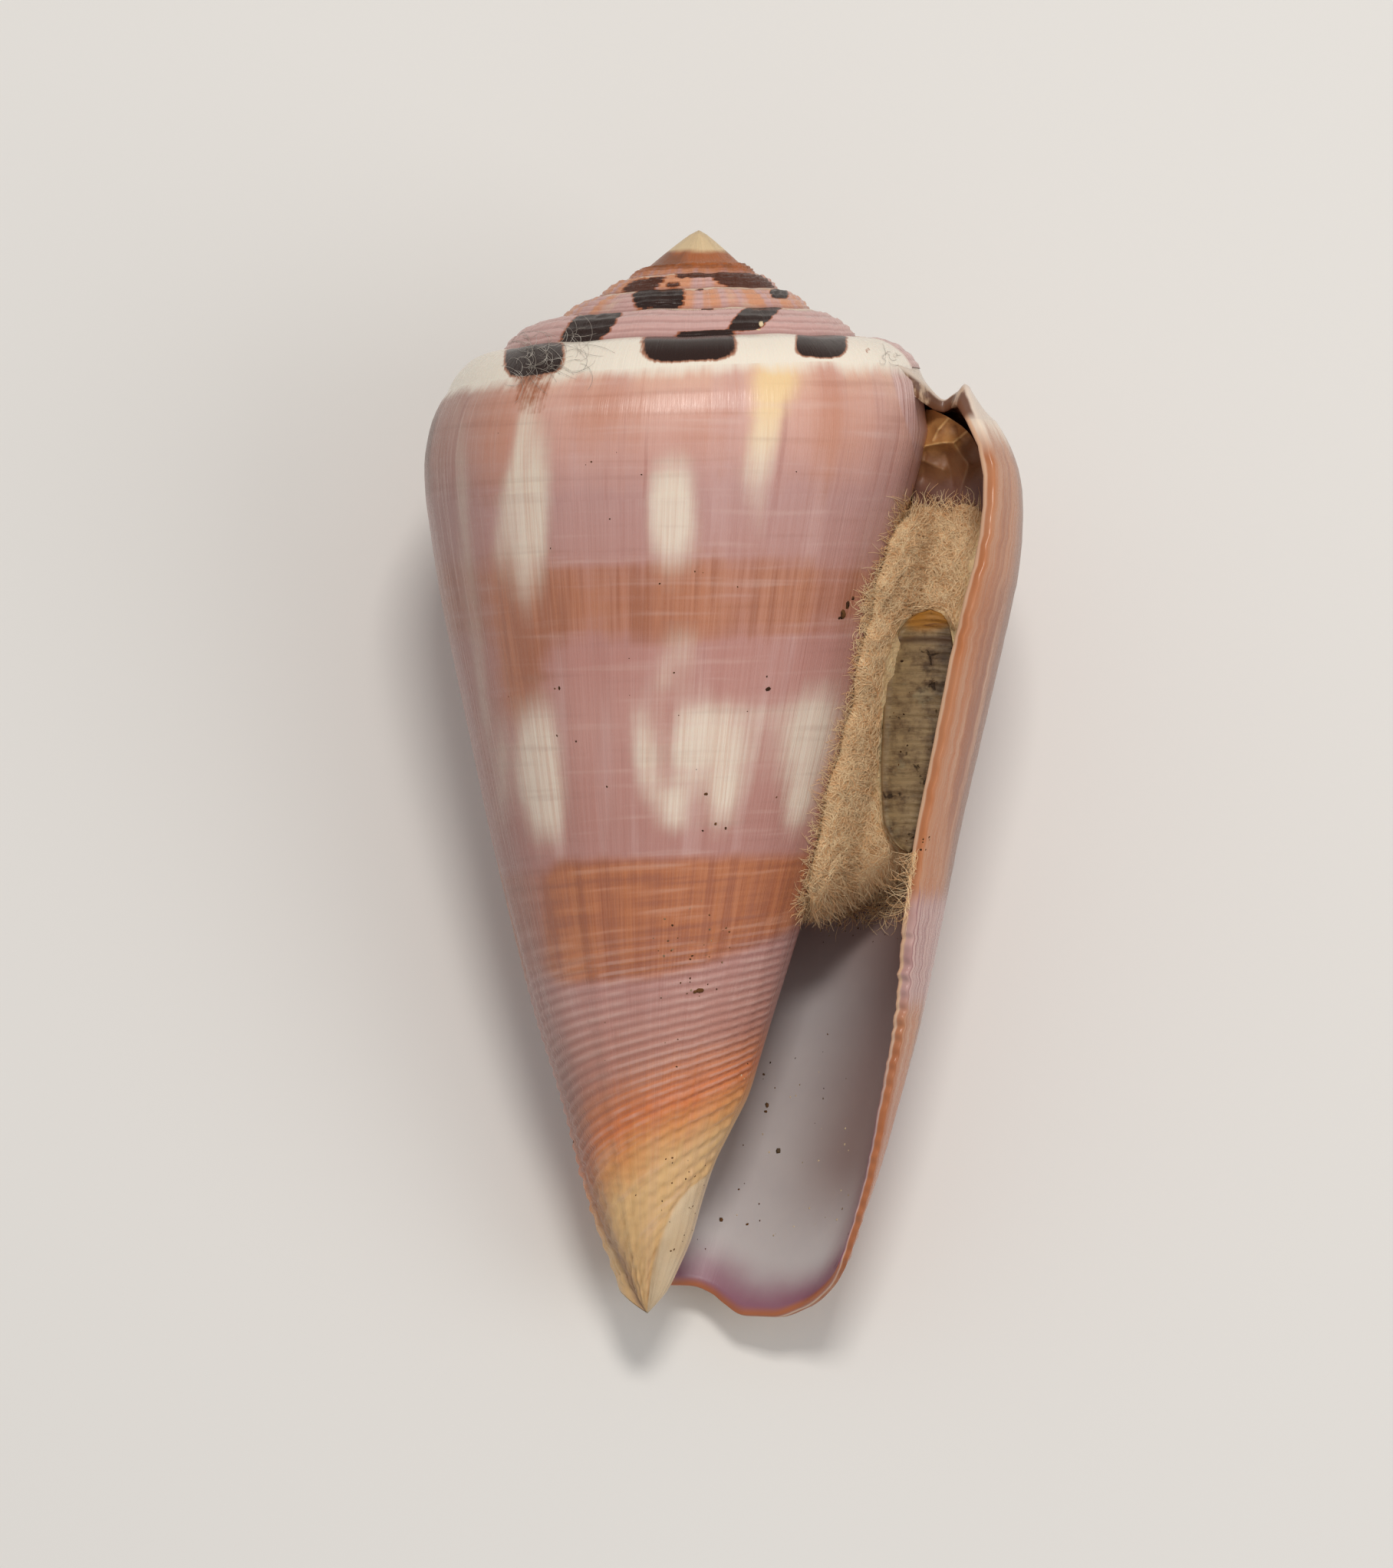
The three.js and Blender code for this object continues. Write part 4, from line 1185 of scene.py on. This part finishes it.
def caught_hairs():
    paths = []
    for _ in range(70):
        px, py = rng.uniform(652, 758), rng.uniform(432, 486)
        paths.append(fibre(px, py, rng.uniform(-60, 60), rng.uniform(20, 60), rng.uniform(-26, 26), 0.25,
                           HAIR_POINTS))
    for _ in range(9):
        px, py = rng.uniform(1150, 1172), rng.uniform(458, 476)
        paths.append(fibre(px, py, rng.uniform(-180, 180), rng.uniform(8, 22), rng.uniform(-30, 30), 0.2,
                           HAIR_POINTS))
    return strands("caught_hairs", [p for p in paths if p], 0.013)


def hair_finish():
    tone = noise(at_point(), 900.0, 2.0)
    return {"Base Color": blend((206, 198, 188), (150, 140, 130), between(tone, 0.4, 0.6)),
            "Roughness": 0.6 + tone * 0.2}


hairs = caught_hairs()
hairs.data.materials.append(material("hair", hair_finish))
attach(hairs, "root")


# Dirt: across, down, half length and half width in pixels, angle, and 0 for brown to 1 for pale.
DIRT = [
    (1099, 801, 8, 5, 60, 0), (1105, 789, 7, 4, 70, 0.05), (1112, 780, 4, 3, 20, 0), (1094, 806, 3, 2, 0, 0),
    (1001, 898, 4, 3, 0, 0), (920, 1035, 3, 2, 0, 0.1), (933, 1074, 2, 2, 0, 0), (946, 1080, 2, 2, 0, 0.1),
    (913, 1291, 7, 4, 10, 0.1), (906, 1293, 3, 3, 0, 0.1), (1236, 684, 7, 4, 30, 0.1),
    (1244, 691, 5, 4, 0, 0), (1000, 1441, 4, 3, 80, 0.25), (998, 1449, 3, 2, 0, 0.2),
    (1015, 1500, 5, 4, 0, 0.3), (940, 1590, 3, 3, 0, 0.2), (974, 1596, 3, 2, 0, 0.2),
    (1145, 1174, 4, 3, 0, 1), (1139, 1180, 3, 3, 0, 1), (1107, 1193, 4, 3, 20, 1),
    (1109, 1190, 5, 3, 20, 0.1), (1118, 1196, 4, 3, 70, 0.1), (1126, 1186, 4, 2, 30, 0.1),
    (1176, 862, 3, 2, 0, 0.2), (992, 423, 4, 5, 0, 1), (989, 430, 3, 2, 0, 1), (729, 897, 2, 3, 0, 0),
]


def scattered_dirt():
    """Fine specks by region: from and to across and down, how many, and how pale."""
    items = []
    for x0, x1, y0, y1, count, pale in (
        (960, 1110, 1330, 1620, 46, 0.45), (850, 960, 1170, 1300, 36, 0.25),
        (1070, 1180, 1150, 1230, 60, 0.3),
        (860, 925, 1500, 1680, 20, 0.1), (1130, 1190, 700, 1100, 26, 0.1), (640, 1100, 560, 1100, 26, 0.1),
        (700, 900, 1300, 1560, 16, 0.2), (1205, 1240, 640, 668, 8, 0.3), (1180, 1215, 1090, 1118, 14, 0.1),
    ):
        for _ in range(count):
            size = rng.uniform(0.7, 1.9)
            items.append((rng.uniform(x0, x1), rng.uniform(y0, y1), size, size * rng.uniform(0.6, 1),
                          rng.uniform(0, 180), pale * rng.uniform(0, 2)))
    return items


def make_dirt():
    gold = (1 + math.sqrt(5)) / 2
    corners = np.array([
        (-1, gold, 0), (1, gold, 0), (-1, -gold, 0), (1, -gold, 0), (0, -1, gold), (0, 1, gold),
        (0, -1, -gold), (0, 1, -gold), (gold, 0, -1), (gold, 0, 1), (-gold, 0, -1), (-gold, 0, 1),
    ])
    corners = corners / np.linalg.norm(corners[0])
    faces = np.array([
        (0, 11, 5), (0, 5, 1), (0, 1, 7), (0, 7, 10), (0, 10, 11), (1, 5, 9), (5, 11, 4), (11, 10, 2),
        (10, 7, 6), (7, 1, 8), (3, 9, 4), (3, 4, 2), (3, 2, 6), (3, 6, 8), (3, 8, 9), (4, 9, 5),
        (2, 4, 11), (6, 2, 10), (8, 6, 7), (9, 8, 1),
    ])
    points, polygons, pale = [], [], []
    for px, py, long, wide, angle, tint in DIRT + scattered_dirt():
        hit = seen(px, py)
        if hit is None:
            continue
        place_at, normal = hit
        aside = right * math.cos(math.radians(angle)) - up * math.sin(math.radians(angle))
        aside = (aside - normal * aside.dot(normal)).normalized()
        other = normal.cross(aside)
        shape = corners * rng.uniform(0.7, 1.25, (12, 1))
        size = np.array([long, wide, min(long, wide) * 0.5]) * PIXEL / 1000
        axes = np.array([aside, other, normal])
        start = len(points)
        points += (np.array(place_at) + (shape * size) @ axes).tolist()
        polygons += (faces + start).tolist()
        pale += [tint] * 12
    return new_piece("dirt", np.array(points), polygons, {"pale": np.array(pale)})


def dirt_finish():
    tone = noise(at_point(), 1200.0, 3.0)
    brown = blend((104, 70, 40), (58, 38, 24), between(tone, 0.4, 0.6))
    color = blend(brown, (226, 206, 170), between(value_of("pale"), 0.15, 0.9))
    return {"Base Color": color, "Roughness": 0.75 + tone * 0.2}


dirt = make_dirt()
dirt.data.materials.append(material("dirt", dirt_finish, Specular_IOR_Level=0.1))
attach(dirt, "root")

# A plain floor, soft lights and the camera.
bpy.ops.mesh.primitive_plane_add(size=3.0, location=(0, 0, 0))
floor = bpy.context.object
floor.name = "floor"
plain = bpy.data.materials.new("floor")
plain.use_nodes = True
coat = plain.node_tree.nodes["Principled BSDF"].inputs
coat["Base Color"].default_value = (0.78, 0.77, 0.75, 1)
coat["Roughness"].default_value = 0.9
floor.data.materials.append(plain)

eye = bpy.data.cameras.new("camera")
eye.sensor_fit = "HORIZONTAL"
eye.sensor_width = SENSOR
eye.lens = SENSOR * DISTANCE / (PHOTO_WIDTH * PIXEL)
eye.clip_start = 0.01
camera = bpy.data.objects.new("camera", eye)
camera.matrix_world = Matrix.Translation(lens_at) @ Matrix((right, up, front)).transposed().to_4x4()
bpy.context.scene.collection.objects.link(camera)
bpy.context.scene.camera = camera


def softbox(name, place_at, size, power, color):
    light = bpy.data.lights.new(name, "AREA")
    light.shape = "RECTANGLE"
    light.size, light.size_y = size
    light.energy = power
    light.color = color
    lamp = bpy.data.objects.new(name, light)
    lamp.location = place_at
    lamp.rotation_euler = (Vector((0, 0, 0.02)) - Vector(place_at)).to_track_quat("-Z", "Y").to_euler()
    bpy.context.scene.collection.objects.link(lamp)


softbox("key", (0.03, 0.17, 0.53), (0.12, 0.09), 1.3, (1, 0.95, 0.89))
softbox("fill", (0.42, -0.10, 0.45), (0.4, 0.4), 0.8, (1, 0.98, 0.96))
world = bpy.data.worlds.new("world")
world.use_nodes = True
sky = world.node_tree.nodes["Background"].inputs
sky["Color"].default_value = (1, 0.985, 0.97, 1)
sky["Strength"].default_value = 0.44
bpy.context.scene.world = world
bpy.context.scene.view_settings.view_transform = "Standard"
